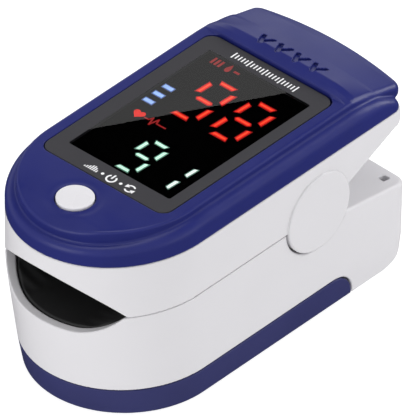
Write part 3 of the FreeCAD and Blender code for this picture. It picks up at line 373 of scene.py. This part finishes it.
def moulded(name, field, low, high, material, body, nodes, keep=0.3, step=None):
    """A piece made from a field: meshed, thinned where it is flat, and shaded by the field's own slope."""
    step = step or STEP
    points, faces = net(field, low, high, step)
    points = settle(field, points)
    raw = mesh_piece(name + "_raw", points, faces, None)
    thin = raw.modifiers.new("thin", "DECIMATE")
    thin.ratio = keep
    bpy.context.view_layer.update()
    mesh = bpy.data.meshes.new_from_object(raw.evaluated_get(bpy.context.evaluated_depsgraph_get()))
    bpy.data.objects.remove(raw)
    co = np.empty(len(mesh.vertices) * 3)
    mesh.vertices.foreach_get("co", co)
    p = settle(field, co.reshape(-1, 3) / MM, 2, 0.05)
    mesh.vertices.foreach_set("co", (p * MM).ravel())
    g = gradient(field, p)
    g /= np.maximum(np.linalg.norm(g, axis=1), 1e-9)[:, None]
    mesh.name = name
    mesh.shade_smooth()
    mesh.update()
    mesh.normals_split_custom_set_from_vertices(g.tolist())
    mesh.materials.clear()
    mesh.materials.append(material)
    obj = bpy.data.objects.new(name, mesh)
    bpy.context.scene.collection.objects.link(obj)
    return settle_piece(obj, body, nodes)


def settle_piece(obj, body, nodes=()):
    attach(obj, body)
    if nodes:
        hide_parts(*nodes)
    return obj


# ---------------------------------------------------------------- materials

def shader(name):
    material = bpy.data.materials.new(name)
    material.use_nodes = True
    tree = material.node_tree
    bsdf = tree.nodes["Principled BSDF"]
    coords = tree.nodes.new("ShaderNodeTexCoord")
    scale = tree.nodes.new("ShaderNodeVectorMath")
    scale.operation = "SCALE"
    scale.inputs["Scale"].default_value = 1000.0
    tree.links.new(coords.outputs["Object"], scale.inputs[0])
    return material, tree, bsdf, scale.outputs[0]


def noise(tree, vector, size, detail=3.0, rough=0.5):
    """Noise whose features are about size millimetres across."""
    node = tree.nodes.new("ShaderNodeTexNoise")
    node.inputs["Scale"].default_value = 1.0 / size
    node.inputs["Detail"].default_value = detail
    node.inputs["Roughness"].default_value = rough
    tree.links.new(vector, node.inputs["Vector"])
    return node.outputs["Fac"]


def spread(tree, value, low, high):
    node = tree.nodes.new("ShaderNodeMapRange")
    node.inputs["From Min"].default_value = 0.3
    node.inputs["From Max"].default_value = 0.7
    node.inputs["To Min"].default_value = low
    node.inputs["To Max"].default_value = high
    tree.links.new(value, node.inputs["Value"])
    return node.outputs["Result"]


def tint(tree, value, dark, light):
    node = tree.nodes.new("ShaderNodeMix")
    node.data_type = "RGBA"
    node.inputs["A"].default_value = (*dark, 1)
    node.inputs["B"].default_value = (*light, 1)
    tree.links.new(value, node.inputs["Factor"])
    return node.outputs["Result"]


def bump(tree, bsdf, value, height, distance=1.0, after=None):
    node = tree.nodes.new("ShaderNodeBump")
    node.inputs["Strength"].default_value = height
    node.inputs["Distance"].default_value = distance * MM
    tree.links.new(value, node.inputs["Height"])
    if after is not None:
        tree.links.new(after, node.inputs["Normal"])
    tree.links.new(node.outputs["Normal"], bsdf.inputs["Normal"])
    return node.outputs["Normal"]


def moulded_plastic(name, colour, vary, rough, grain, height, coat=0.0, sheen=0.0, shine=0.5):
    """Injection-moulded plastic: faint colour drift, an even fine texture and uneven polish."""
    material, tree, bsdf, mm = shader(name)
    drift = spread(tree, noise(tree, mm, 9.0, 2.0), 0, 1)
    dark = [c * (1 - vary) for c in colour]
    light = [min(1, c * (1 + vary)) for c in colour]
    tree.links.new(tint(tree, drift, dark, light), bsdf.inputs["Base Color"])
    polish = spread(tree, noise(tree, mm, 5.0, 2.0), rough - 0.03, rough + 0.04)
    tree.links.new(polish, bsdf.inputs["Roughness"])
    texture = bump(tree, bsdf, noise(tree, mm, grain, 3.0, 0.6), height, 0.02)
    bump(tree, bsdf, noise(tree, mm, 9.0, 1.0), 0.05, 0.25, texture)
    bsdf.inputs["Coat Weight"].default_value = coat
    bsdf.inputs["Coat Roughness"].default_value = 0.12
    bsdf.inputs["Sheen Weight"].default_value = sheen
    bsdf.inputs["Specular IOR Level"].default_value = shine
    return material


def metal(name, colour, rough, streak):
    """Drawn or plated metal: long fine streaks, slight tarnish."""
    material, tree, bsdf, mm = shader(name)
    stretch = tree.nodes.new("ShaderNodeMapping")
    stretch.inputs["Scale"].default_value = streak
    tree.links.new(mm, stretch.inputs["Vector"])
    lines = noise(tree, stretch.outputs[0], 0.6, 4.0, 0.6)
    stain = spread(tree, noise(tree, mm, 3.0, 3.0), 0, 1)
    tree.links.new(tint(tree, stain, [c * 0.75 for c in colour], colour), bsdf.inputs["Base Color"])
    tree.links.new(spread(tree, lines, rough - 0.08, rough + 0.12), bsdf.inputs["Roughness"])
    bump(tree, bsdf, lines, 0.25, 0.01)
    bsdf.inputs["Metallic"].default_value = 1.0
    return material


def circuit_board(name):
    """Green solder mask over copper tracks, with tinned pads."""
    material, tree, bsdf, mm = shader(name)
    brick = tree.nodes.new("ShaderNodeTexBrick")
    brick.inputs["Scale"].default_value = 0.9
    brick.inputs["Mortar Size"].default_value = 0.06
    brick.inputs["Brick Width"].default_value = 1.7
    brick.inputs["Row Height"].default_value = 0.55
    brick.inputs["Color1"].default_value = (0.012, 0.10, 0.035, 1)
    brick.inputs["Color2"].default_value = (0.016, 0.12, 0.045, 1)
    brick.inputs["Mortar"].default_value = (0.05, 0.23, 0.09, 1)
    tree.links.new(mm, brick.inputs["Vector"])
    dots = tree.nodes.new("ShaderNodeTexVoronoi")
    dots.inputs["Scale"].default_value = 0.45
    dots.inputs["Randomness"].default_value = 0.6
    tree.links.new(mm, dots.inputs["Vector"])
    pads = tree.nodes.new("ShaderNodeMapRange")
    pads.inputs["From Min"].default_value = 0.2
    pads.inputs["From Max"].default_value = 0.17
    tree.links.new(dots.outputs["Distance"], pads.inputs["Value"])
    mix = tree.nodes.new("ShaderNodeMix")
    mix.data_type = "RGBA"
    mix.inputs["B"].default_value = (0.72, 0.66, 0.5, 1)
    tree.links.new(pads.outputs[0], mix.inputs["Factor"])
    tree.links.new(brick.outputs["Color"], mix.inputs["A"])
    tree.links.new(mix.outputs["Result"], bsdf.inputs["Base Color"])
    tree.links.new(spread(tree, noise(tree, mm, 0.8), 0.28, 0.42), bsdf.inputs["Roughness"])
    bump(tree, bsdf, brick.outputs["Fac"], 0.3, 0.03)
    return material


def lit(name, colour, strength):
    """A lit display segment: bright, with the slight mottle of its diffuser."""
    material, tree, bsdf, mm = shader(name)
    mottle = spread(tree, noise(tree, mm, 0.7, 2.0), 0, 1)
    shades = tint(tree, mottle, [c * 0.88 for c in colour], colour)
    tree.links.new(shades, bsdf.inputs["Base Color"])
    tree.links.new(shades, bsdf.inputs["Emission Color"])
    bsdf.inputs["Emission Strength"].default_value = strength
    bsdf.inputs["Roughness"].default_value = 0.45
    return material


def bonded(name):
    """The window's underside where clear adhesive joins it to the display, so that nothing shows there."""
    material, tree, bsdf, mm = shader(name)
    haze = spread(tree, noise(tree, mm, 2.0, 1.0), 0, 1)
    tree.links.new(tint(tree, haze, (0.96, 0.96, 0.96), (1.0, 1.0, 1.0)), bsdf.inputs["Base Color"])
    bsdf.inputs["Alpha"].default_value = 0.0
    return material


def glass(name, colour, rough):
    """Smoked polycarbonate, with a very faint orange-peel surface."""
    material, tree, bsdf, mm = shader(name)
    drift = spread(tree, noise(tree, mm, 6.0, 1.0), 0, 1)
    tree.links.new(tint(tree, drift, [c * 0.96 for c in colour], colour), bsdf.inputs["Base Color"])
    bump(tree, bsdf, noise(tree, mm, 14.0, 1.0), 0.004, 0.02)
    bsdf.inputs["Transmission Weight"].default_value = 1.0
    bsdf.inputs["Roughness"].default_value = rough
    bsdf.inputs["IOR"].default_value = 1.8
    return material


BLUE = moulded_plastic("blue_abs", (0.0140, 0.0188, 0.145), 0.05, 0.32, 0.16, 0.20, shine=0.27)
BASE_BLUE = moulded_plastic("blue_abs_base", (0.030, 0.033, 0.130), 0.05, 0.45, 0.16, 0.20, shine=0.30)
WHITE = moulded_plastic("white_abs", (0.685, 0.675, 0.70), 0.006, 0.32, 0.5, 0.015, shine=0.35)
BUTTON = moulded_plastic("white_button", (0.78, 0.77, 0.80), 0.006, 0.28, 0.4, 0.015, shine=0.4)
SILICONE = moulded_plastic("black_silicone", (0.0036, 0.0036, 0.0042), 0.15, 0.62, 0.30, 0.45, sheen=0.03)
BORDER = moulded_plastic("grey_print", (0.034, 0.033, 0.039), 0.03, 0.6, 0.10, 0.12, shine=0.3)
TRAY = moulded_plastic("grey_abs", (0.30, 0.31, 0.33), 0.04, 0.45, 0.20, 0.30)
CHIP = moulded_plastic("chip_package", (0.012, 0.012, 0.014), 0.2, 0.55, 0.08, 0.6)
DISPLAY = moulded_plastic("display_block", (0.0012, 0.0012, 0.0014), 0.2, 0.6, 0.2, 0.15, shine=0.0)
PRINT = moulded_plastic("white_print", (0.92, 0.92, 0.94), 0.03, 0.55, 0.08, 0.10)
FILM = moulded_plastic("polyimide", (0.46, 0.19, 0.03), 0.15, 0.28, 0.5, 0.15)
JACKET = moulded_plastic("cell_jacket", (0.10, 0.13, 0.17), 0.25, 0.32, 0.6, 0.10, coat=0.4)
STEEL = metal("zinc_steel", (0.60, 0.60, 0.62), 0.30, (0.2, 4.0, 4.0))
NICKEL = metal("nickel", (0.68, 0.65, 0.60), 0.22, (3.0, 0.4, 3.0))
GOLD = metal("gold_die", (0.85, 0.62, 0.25), 0.25, (2.0, 2.0, 2.0))
BOARD = circuit_board("solder_mask")
WINDOW = glass("smoked_glass", (0.86, 0.86, 0.88), 0.0)
BOND = bonded("clear_adhesive")
LENS = glass("clear_lens", (0.92, 0.55, 0.50), 0.08)
RED = lit("lit_red", (0.85, 0.018, 0.008), 0.9)
RED_CORE = lit("lit_red_core", (1.0, 0.10, 0.035), 1.2)
DEEP_RED = lit("dim_red", (0.30, 0.012, 0.012), 0.9)
GREEN = lit("lit_green_white", (0.66, 1.0, 0.82), 1.1)
COOL_WHITE = lit("lit_white", (0.95, 1.0, 0.97), 1.1)
PALE_BLUE = lit("lit_pale_blue", (0.36, 0.56, 1.0), 1.0)
RED_GLOW = lit("glow_red", (0.62, 0.005, 0.004), 0.32)
WHITE_GLOW = lit("glow_white", (0.20, 0.42, 0.32), 0.35)
BLUE_GLOW = lit("glow_blue", (0.14, 0.24, 0.55), 0.35)


# ---------------------------------------------------------------- flat pieces: window, segments, prints

def rounded_loop(x0, x1, y0, y1, r, per_corner=8):
    points = []
    corners = ((x1 - r, y1 - r, 0), (x0 + r, y1 - r, 90), (x0 + r, y0 + r, 180), (x1 - r, y0 + r, 270))
    for cx, cy, start in corners:
        for i in range(per_corner + 1):
            a = math.radians(start + 90 * i / per_corner)
            points.append((cx + r * math.cos(a), cy + r * math.sin(a)))
    return points


def window():
    """The display window: a clear plate, printed grey around the display, with a softened upper edge."""
    top, low = PLATEAU, PLATEAU - WINDOW_THICK
    loops = []
    for inset, z in ((0, low), (0, top - 0.12), (0.04, top - 0.04), (0.12, top)):
        half, front, back = WINDOW_HALF - inset, WINDOW_FRONT + inset, WINDOW_BACK - inset
        loops.append([(x, y, z) for x, y in rounded_loop(-half, half, front, back, WINDOW_CORNER)])
    for z in (top, low):
        loops.append([(x, y, z) for x, y in rounded_loop(*VIEW, 0.35)])
    points = [p for loop in loops for p in loop]
    count = len(loops[0])
    faces, marks = [], []
    for a in range(4):
        for i in range(count):
            j = (i + 1) % count
            faces.append((a * count + i, a * count + j, (a + 1) * count + j, (a + 1) * count + i))
            marks.append(0)
    faces.append(tuple(4 * count + i for i in range(count)))
    marks.append(1)
    faces.append(tuple(5 * count + i for i in reversed(range(count))))
    marks.append(2)
    for i in range(count):
        j = (i + 1) % count
        faces.append((5 * count + i, 5 * count + j, j, i))
        marks.append(0)
    obj = mesh_piece("window_plate", points, faces, BORDER, smooth=False)
    obj.data.materials.append(WINDOW)
    obj.data.materials.append(BOND)
    obj.data.polygons.foreach_set("material_index", marks)
    return settle_piece(obj, "upper_jaw", ["display_window"])


def slab(points, low, high, taper=0.0):
    """A flat shape standing from low to high, with its top edge drawn in a little."""
    cx = sum(p[0] for p in points) / len(points)
    cy = sum(p[1] for p in points) / len(points)
    n = len(points)
    inner = []
    for x, y in points:
        d = math.hypot(x - cx, y - cy) or 1
        inner.append((x - (x - cx) / d * taper, y - (y - cy) / d * taper))
    verts = [(x, y, low) for x, y in points] + [(x, y, high - taper) for x, y in points]
    verts += [(x, y, high) for x, y in inner]
    faces = [tuple(reversed(range(n))), tuple(2 * n + i for i in range(n))]
    for k in (0, n):
        faces += [(k + i, k + (i + 1) % n, k + n + (i + 1) % n, k + n + i) for i in range(n)]
    return verts, faces


def join_slabs(name, shapes, low, high, material, taper=0.03):
    verts, faces = [], []
    for points in shapes:
        v, f = slab(points, low, high, taper)
        faces += [tuple(i + len(verts) for i in face) for face in f]
        verts += v
    return mesh_piece(name, verts, faces, material, smooth=False)


# How far a digit leans, sideways for each millimetre up.
LEAN = 0.043


def segment_shape(x, y, long, thin, lying, outer):
    """One bar of a digit. outer is 1 or -1 for its longer side, and 0 for a bar between two others."""
    half, t, cut = long / 2, thin / 2, thin * 0.42
    if outer == 0:
        ring = [(-half, 0), (-half + cut, t), (half - cut, t), (half, 0), (half - cut, -t), (-half + cut, -t)]
    else:
        a, b = (0, cut) if outer > 0 else (cut, 0)
        ring = [(-half + b, -t), (-half + a, t), (half - a, t), (half - b, -t)]
    ring = ring[::-1] if lying else [(v, u) for u, v in ring]
    return [(x + u + LEAN * v, y + v) for u, v in ring]


def digit(x, y, size, lit_bars, grow=0.0):
    """Seven-segment digit centred on x, y, whose top is toward the rear."""
    side, long, thin = size * 0.462, size * 0.60 + grow, size * 0.145 + grow
    bars = {"top": (0, size, True, 1), "middle": (0, 0, True, 0), "bottom": (0, -size, True, -1),
            "high_left": (-side, size / 2, False, -1), "high_right": (side, size / 2, False, 1),
            "low_left": (-side, -size / 2, False, -1), "low_right": (side, -size / 2, False, 1)}
    shapes = []
    for bar in lit_bars:
        dx, dy, lying, outer = bars[bar]
        shapes.append(segment_shape(x + dx + LEAN * dy, y + dy, long, thin, lying, outer))
    return shapes


def heart_shape(x, y, size, count=40):
    ring = []
    for i in range(count):
        a = 2 * math.pi * i / count
        rise = 13 * math.cos(a) - 5 * math.cos(2 * a) - 2 * math.cos(3 * a) - math.cos(4 * a)
        ring.append((x + size * 16 * math.sin(a) ** 3, y + size * rise))
    return ring[::-1]


def display():
    """What the display shows: two readings, a strength bar, a heart and dim pictograms."""
    nine = ["top", "middle", "bottom", "high_left", "high_right", "low_right"]
    eight = nine + ["low_left"]
    one = ["high_right", "low_right"]
    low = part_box("display_module")[1].z / MM
    heart = heart_shape(-6.5, -2.85, 0.062)
    pulse = polyline([(-5.3, -2.9), (-4.6, -2.9), (-4.25, -2.2), (-3.8, -3.75), (-3.4, -2.0), (-3.05, -2.9),
                      (-2.2, -2.9), (-1.4, -2.9)], 0.26)
    drop = [(-4.2 + 0.62 * math.sin(a) * abs(math.sin(a / 2)) ** 1.4, 13.55 + 0.95 * math.cos(a))
            for a in (2 * math.pi * i / 28 for i in range(28))][::-1]
    marks = [box_ring(x, 13.45, 0.20, 0.72) for x in (-7.1, -6.4, -5.7)] + [box_ring(-2.7, 13.45, 0.5, 0.2)]

    def red(grow):
        return digit(-1.7, 5.55, 4.7, nine, grow) + digit(5.6, 5.7, 4.7, eight, grow)

    def tens(grow):
        return digit(0.58, -9.84, 3.75, nine, grow)

    def units(grow):
        return digit(6.4, -9.84, 3.75, one, grow)

    def bars(grow):
        return [box_ring(-7.5, y, 0.85 + grow / 2, 0.36 + grow / 2) for y in (0.3, 2.35, 4.4)]

    groups = [("oxygen", red, RED, RED_GLOW), ("rate_tens", tens, GREEN, WHITE_GLOW),
              ("rate_units", units, COOL_WHITE, WHITE_GLOW), ("strength_bars", bars, PALE_BLUE, BLUE_GLOW),
              ("heart_mark", lambda grow: [heart], RED, None),
              ("dim_marks", lambda grow: pulse + [drop] + marks, DEEP_RED, None)]
    pieces = []

    def add(name, shapes, under, over, material):
        moved = [[(x + SHOW_X, y + SHOW_Y) for x, y in ring] for ring in shapes]
        pieces.append(join_slabs(name, moved, low + under, low + over, material, 0.005))

    for name, shapes, bright, glow in groups:
        add("lit_" + name, shapes(-0.06), 0.21, 0.24, bright)
        if glow:
            add("glow_" + name, shapes(0.30), 0.10, 0.19, glow)
    add("core_oxygen", red(-0.46), 0.26, 0.28, RED_CORE)
    for piece in pieces:
        settle_piece(piece, "upper_jaw")
    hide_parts("display_segments")


def box_ring(x, y, half_x, half_y):
    x0, x1, y0, y1 = x - half_x, x + half_x, y - half_y, y + half_y
    return [(x0, y0), (x1, y0), (x1, y1), (x0, y1)]


def polyline(points, width):
    """Short flat strokes along a run of points."""
    strokes = []
    for (ax, ay), (bx, by) in zip(points, points[1:]):
        d = math.hypot(bx - ax, by - ay)
        ux, uy = (bx - ax) / d, (by - ay) / d
        px, py = -uy * width / 2, ux * width / 2
        e = width * 0.35
        strokes.append([(ax - ux * e - px, ay - uy * e - py), (bx + ux * e - px, by + uy * e - py),
                        (bx + ux * e + px, by + uy * e + py), (ax - ux * e + px, ay - uy * e + py)])
    return strokes


def arc_points(x, y, r, start, end, count):
    return [(x + r * math.cos(math.radians(start + (end - start) * i / count)),
             y + r * math.sin(math.radians(start + (end - start) * i / count))) for i in range(count + 1)]


def band(x, y, r, width, start, end, count=24):
    """A flat arc of even width."""
    outer = arc_points(x, y, r + width / 2, start, end, count)
    inner = arc_points(x, y, r - width / 2, start, end, count)
    return outer + inner[::-1]


def border_marks():
    """White pictograms printed on the window's border: beside the button, and a scale mark at the rear."""
    z = PLATEAU + 0.001
    shapes = []
    y = -16.45
    for i, tall in enumerate((0.3, 0.5, 0.75, 1.05, 1.1, 0.85, 0.5)):
        shapes.append(box_ring(-4.1 + i * 0.36, y - 0.45 + tall / 2, 0.10, tall / 2))
    for x in (-0.95, 2.5):
        shapes.append(arc_points(x, y, 0.26, 0, 330, 11))
    shapes.append(band(0.75, y - 0.05, 0.74, 0.28, 128, 412))
    shapes.append(box_ring(0.75, y + 0.45, 0.14, 0.5))
    for start in (40, 220):
        shapes.append(band(4.25, y, 0.72, 0.26, start, start + 105))
        turn = math.radians(start + 105)
        middle = (4.25 + 0.72 * math.cos(turn), y + 0.72 * math.sin(turn))
        ahead = (-math.sin(turn), math.cos(turn))
        out = (math.cos(turn), math.sin(turn))
        shapes.append([(middle[0] + a * ahead[0] + b * out[0], middle[1] + a * ahead[1] + b * out[1])
                       for a, b in ((-0.05, -0.42), (-0.05, 0.42), (0.62, 0.0))][::-1])
    for i in range(21):
        tall = 0.55 if i % 5 else 0.8
        shapes.append(box_ring(-5.9 + i * 0.59, 16.3, 0.11, tall * 0.9))
    piece = join_slabs("border_marks", shapes, z, z + 0.015, PRINT, taper=0.004)
    settle_piece(piece, "upper_jaw")


# ---------------------------------------------------------------- build the pieces

def build_shells():
    moulded("cover_moulding", top_cover_field, (-15.6, -31.0, 27.8), (15.6, 31.1, 34.1), BLUE, "upper_jaw",
            ["top_cover"], step=STEP * 0.85)
    moulded("upper_moulding", upper_shell_field, (-15.8, -31.0, 12.9), (15.8, 29.4, 27.9), WHITE, "upper_jaw",
            ["upper_shell"])
    moulded("lower_moulding", lower_shell_field, (-15.6, -31.0, -0.1), (15.6, 30.2, 22.3), WHITE, "lower_jaw",
            ["lower_shell"])
    moulded("door_moulding", battery_cover_field, (-15.2, -28.8, -0.1), (15.2, 18.6, 4.8), BASE_BLUE,
            "battery_door", ["battery_cover"])
    for name, field, low, high, body, node in (
            ("upper_pad_silicone", upper_pad_field, 19.0, 25.4, "upper_jaw", "upper_finger_pad"),
            ("lower_pad_silicone", lower_pad_field, 13.8, 18.7, "lower_jaw", "lower_finger_pad")):
        piece = moulded(name, field, (-14.1, -29.5, low), (14.1, 4.9, high), SILICONE, body, [node],
                        step=STEP * 1.2)
    r = 3.6
    moulded("button_moulding", button_field, (-r, BUTTON_Y - r, 28.8), (r, BUTTON_Y + r, 33.3), BUTTON, "button",
            ["power_button"], keep=0.8, step=0.15)


def finish_cad_nodes():
    """Procedural materials for the CAD nodes that stay as they are."""
    looks = {"display_module": DISPLAY, "main_board": BOARD, "board_chips": CHIP, "tact_switch": CHIP,
             "emitter_board": BOARD, "emitter_leds": GOLD, "emitter_window": LENS, "cover_screws": STEEL,
             "spring_arms": STEEL, "ribbon_upper": FILM, "battery_tray": TRAY, "cell_left": JACKET,
             "cell_right": JACKET, "battery_springs": NICKEL, "contact_plates": NICKEL, "sensor_board": BOARD,
             "photodiode": CHIP, "sensor_window": LENS, "hinge_pin": STEEL, "torsion_spring_left": STEEL,
             "torsion_spring_right": STEEL, "tray_screw": STEEL, "ribbon_lower": FILM}
    for name, material in looks.items():
        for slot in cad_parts[name].material_slots:
            slot.material = material


# ---------------------------------------------------------------- stage, light and camera

def floor():
    """A pale floor, and a black card under it that only reflections see, to keep the floor's glare off."""
    material, tree, bsdf, mm = shader("floor_white")
    shade = spread(tree, noise(tree, mm, 60.0, 2.0), 0, 1)
    tree.links.new(tint(tree, shade, (0.40, 0.40, 0.40), (0.42, 0.42, 0.42)), bsdf.inputs["Base Color"])
    bsdf.inputs["Roughness"].default_value = 0.9
    bsdf.inputs["Specular IOR Level"].default_value = 0.1
    bsdf.inputs["Emission Color"].default_value = (1, 1, 1, 1)
    bsdf.inputs["Emission Strength"].default_value = 0.80
    plane = level_plane("studio_floor", -0.02, material)
    plane.visible_glossy = False
    card = level_plane("studio_black_card", -1.02, CHIP)
    card.visible_camera = card.visible_diffuse = card.visible_transmission = card.visible_shadow = False


def level_plane(name, z, material, half=15000):
    corners = [(x, y, z) for x, y in box_ring(0, 0, half, half)]
    plane = mesh_piece(name, corners, [(0, 1, 2, 3)], material, smooth=False)
    return plane


# Where the display's surface sends the camera's line of sight, and how bright the surround and the card are.
MIRROR = (-0.535, 0.583, 0.6114)
SURROUND, CARD = 0.73, 0.42


def area_light(name, spot, aim, width, height, power):
    data = bpy.data.lights.new(name, "AREA")
    data.shape = "RECTANGLE"
    data.size, data.size_y = width * MM, height * MM
    data.energy = power
    obj = bpy.data.objects.new(name, data)
    obj.location = Vector(spot) * MM
    obj.rotation_euler = (Vector(aim) - Vector(spot)).to_track_quat("-Z", "Y").to_euler()
    obj.visible_camera = False
    bpy.context.scene.collection.objects.link(obj)
    return obj


def ramp(tree, value, start, end):
    """0 below start, 1 above end, smooth between."""
    node = tree.nodes.new("ShaderNodeMapRange")
    node.interpolation_type = "SMOOTHSTEP"
    node.inputs["From Min"].default_value = start
    node.inputs["From Max"].default_value = end
    tree.links.new(value, node.inputs["Value"])
    return node.outputs["Result"]


def multiply(tree, a, b):
    node = tree.nodes.new("ShaderNodeMath")
    node.operation = "MULTIPLY"
    tree.links.new(a, node.inputs[0])
    tree.links.new(b, node.inputs[1])
    return node.outputs[0]


def lights():
    """An even studio: a bright surround, dark high up behind, with soft panels and the display's card."""
    world = bpy.data.worlds.new("studio")
    world.use_nodes = True
    tree = world.node_tree
    coords = tree.nodes.new("ShaderNodeTexCoord")
    parts = tree.nodes.new("ShaderNodeSeparateXYZ")
    tree.links.new(coords.outputs["Generated"], parts.inputs[0])
    aim = tree.nodes.new("ShaderNodeVectorMath")
    aim.operation = "DOT_PRODUCT"
    aim.inputs[1].default_value = (-0.25, 0.97, 0)
    tree.links.new(coords.outputs["Generated"], aim.inputs[0])
    high = ramp(tree, parts.outputs["Z"], 0.40, 0.54)
    behind = ramp(tree, aim.outputs["Value"], 0.0, 0.30)
    dark = multiply(tree, high, behind)
    shade = tree.nodes.new("ShaderNodeMapRange")
    shade.inputs["To Min"].default_value = SURROUND
    shade.inputs["To Max"].default_value = 0.002
    tree.links.new(dark, shade.inputs["Value"])
    power = tree.nodes.new("ShaderNodeMapRange")
    power.inputs["To Min"].default_value = 1.05
    tree.links.new(ramp(tree, parts.outputs["Z"], -0.002, 0.0), power.inputs["Value"])
    tree.links.new(shade.outputs["Result"], power.inputs["To Max"])
    tree.links.new(power.outputs["Result"], tree.nodes["Background"].inputs["Strength"])
    tree.nodes["Background"].inputs["Color"].default_value = (1, 1, 1, 1)
    bpy.context.scene.world = world
    area_light("overhead", (-40, 60, 420), (0, 0, 0), 260, 260, 0.52)
    area_light("side_fill", (330, 90, 40), (0, 10, 15), 220, 160, 0.09)
    area_light("rear_fill", (150, 360, 200), (0, 20, 15), 200, 200, 0.70)
    area_light("front_fill", (-40, -330, 200), (0, -20, 15), 200, 200, 0.32)
    reflected_card(95, 110, 60)


def reflected_card(reach, long, wide):
    """A lit card whose long edge is what draws the bright diagonal across the display."""
    mirror = Vector(MIRROR).normalized()
    line = Vector((0.5105, 0.8599, 0))
    flat = (line - mirror * line.dot(mirror)).normalized()
    out = mirror.cross(flat)
    if out.x > 0:
        out = -out
    middle = Vector((-2.7, 2.6, PLATEAU)) + mirror * reach + out * wide / 2
    card = area_light("card", middle, (0, 0, 0), long, wide, CARD * math.pi * long * wide * MM ** 2)
    card.matrix_world = Matrix.Translation(middle * MM) @ Matrix(
        (flat, mirror.cross(flat), mirror)).transposed().to_4x4()


def camera():
    """The viewpoint of the product shot: a long lens from the front right, above."""
    azimuth, elevation = math.radians(42.536), math.radians(37.689)
    right = Vector((math.cos(azimuth), math.sin(azimuth), 0))
    ahead = Vector((-math.sin(azimuth) * math.cos(elevation), math.cos(azimuth) * math.cos(elevation),
                    -math.sin(elevation)))
    up = right.cross(ahead)
    target = Vector((0, NOSE_Y, 0)) + right * 11.593 + up * 20.247
    distance = 2651.28
    spot = target - ahead * distance
    data = bpy.data.cameras.new("camera")
    data.sensor_width = 36.0
    data.lens = 1605.58
    data.clip_start, data.clip_end = 0.1, 20.0
    obj = bpy.data.objects.new("camera", data)
    turn = Matrix((right, up, -ahead)).transposed()
    obj.matrix_world = Matrix.Translation(spot * MM) @ turn.to_4x4()
    bpy.context.scene.collection.objects.link(obj)
    bpy.context.scene.camera = obj


build_shells()
window()
display()
border_marks()
finish_cad_nodes()
floor()
lights()
camera()
bpy.context.scene.view_settings.view_transform = "Standard"
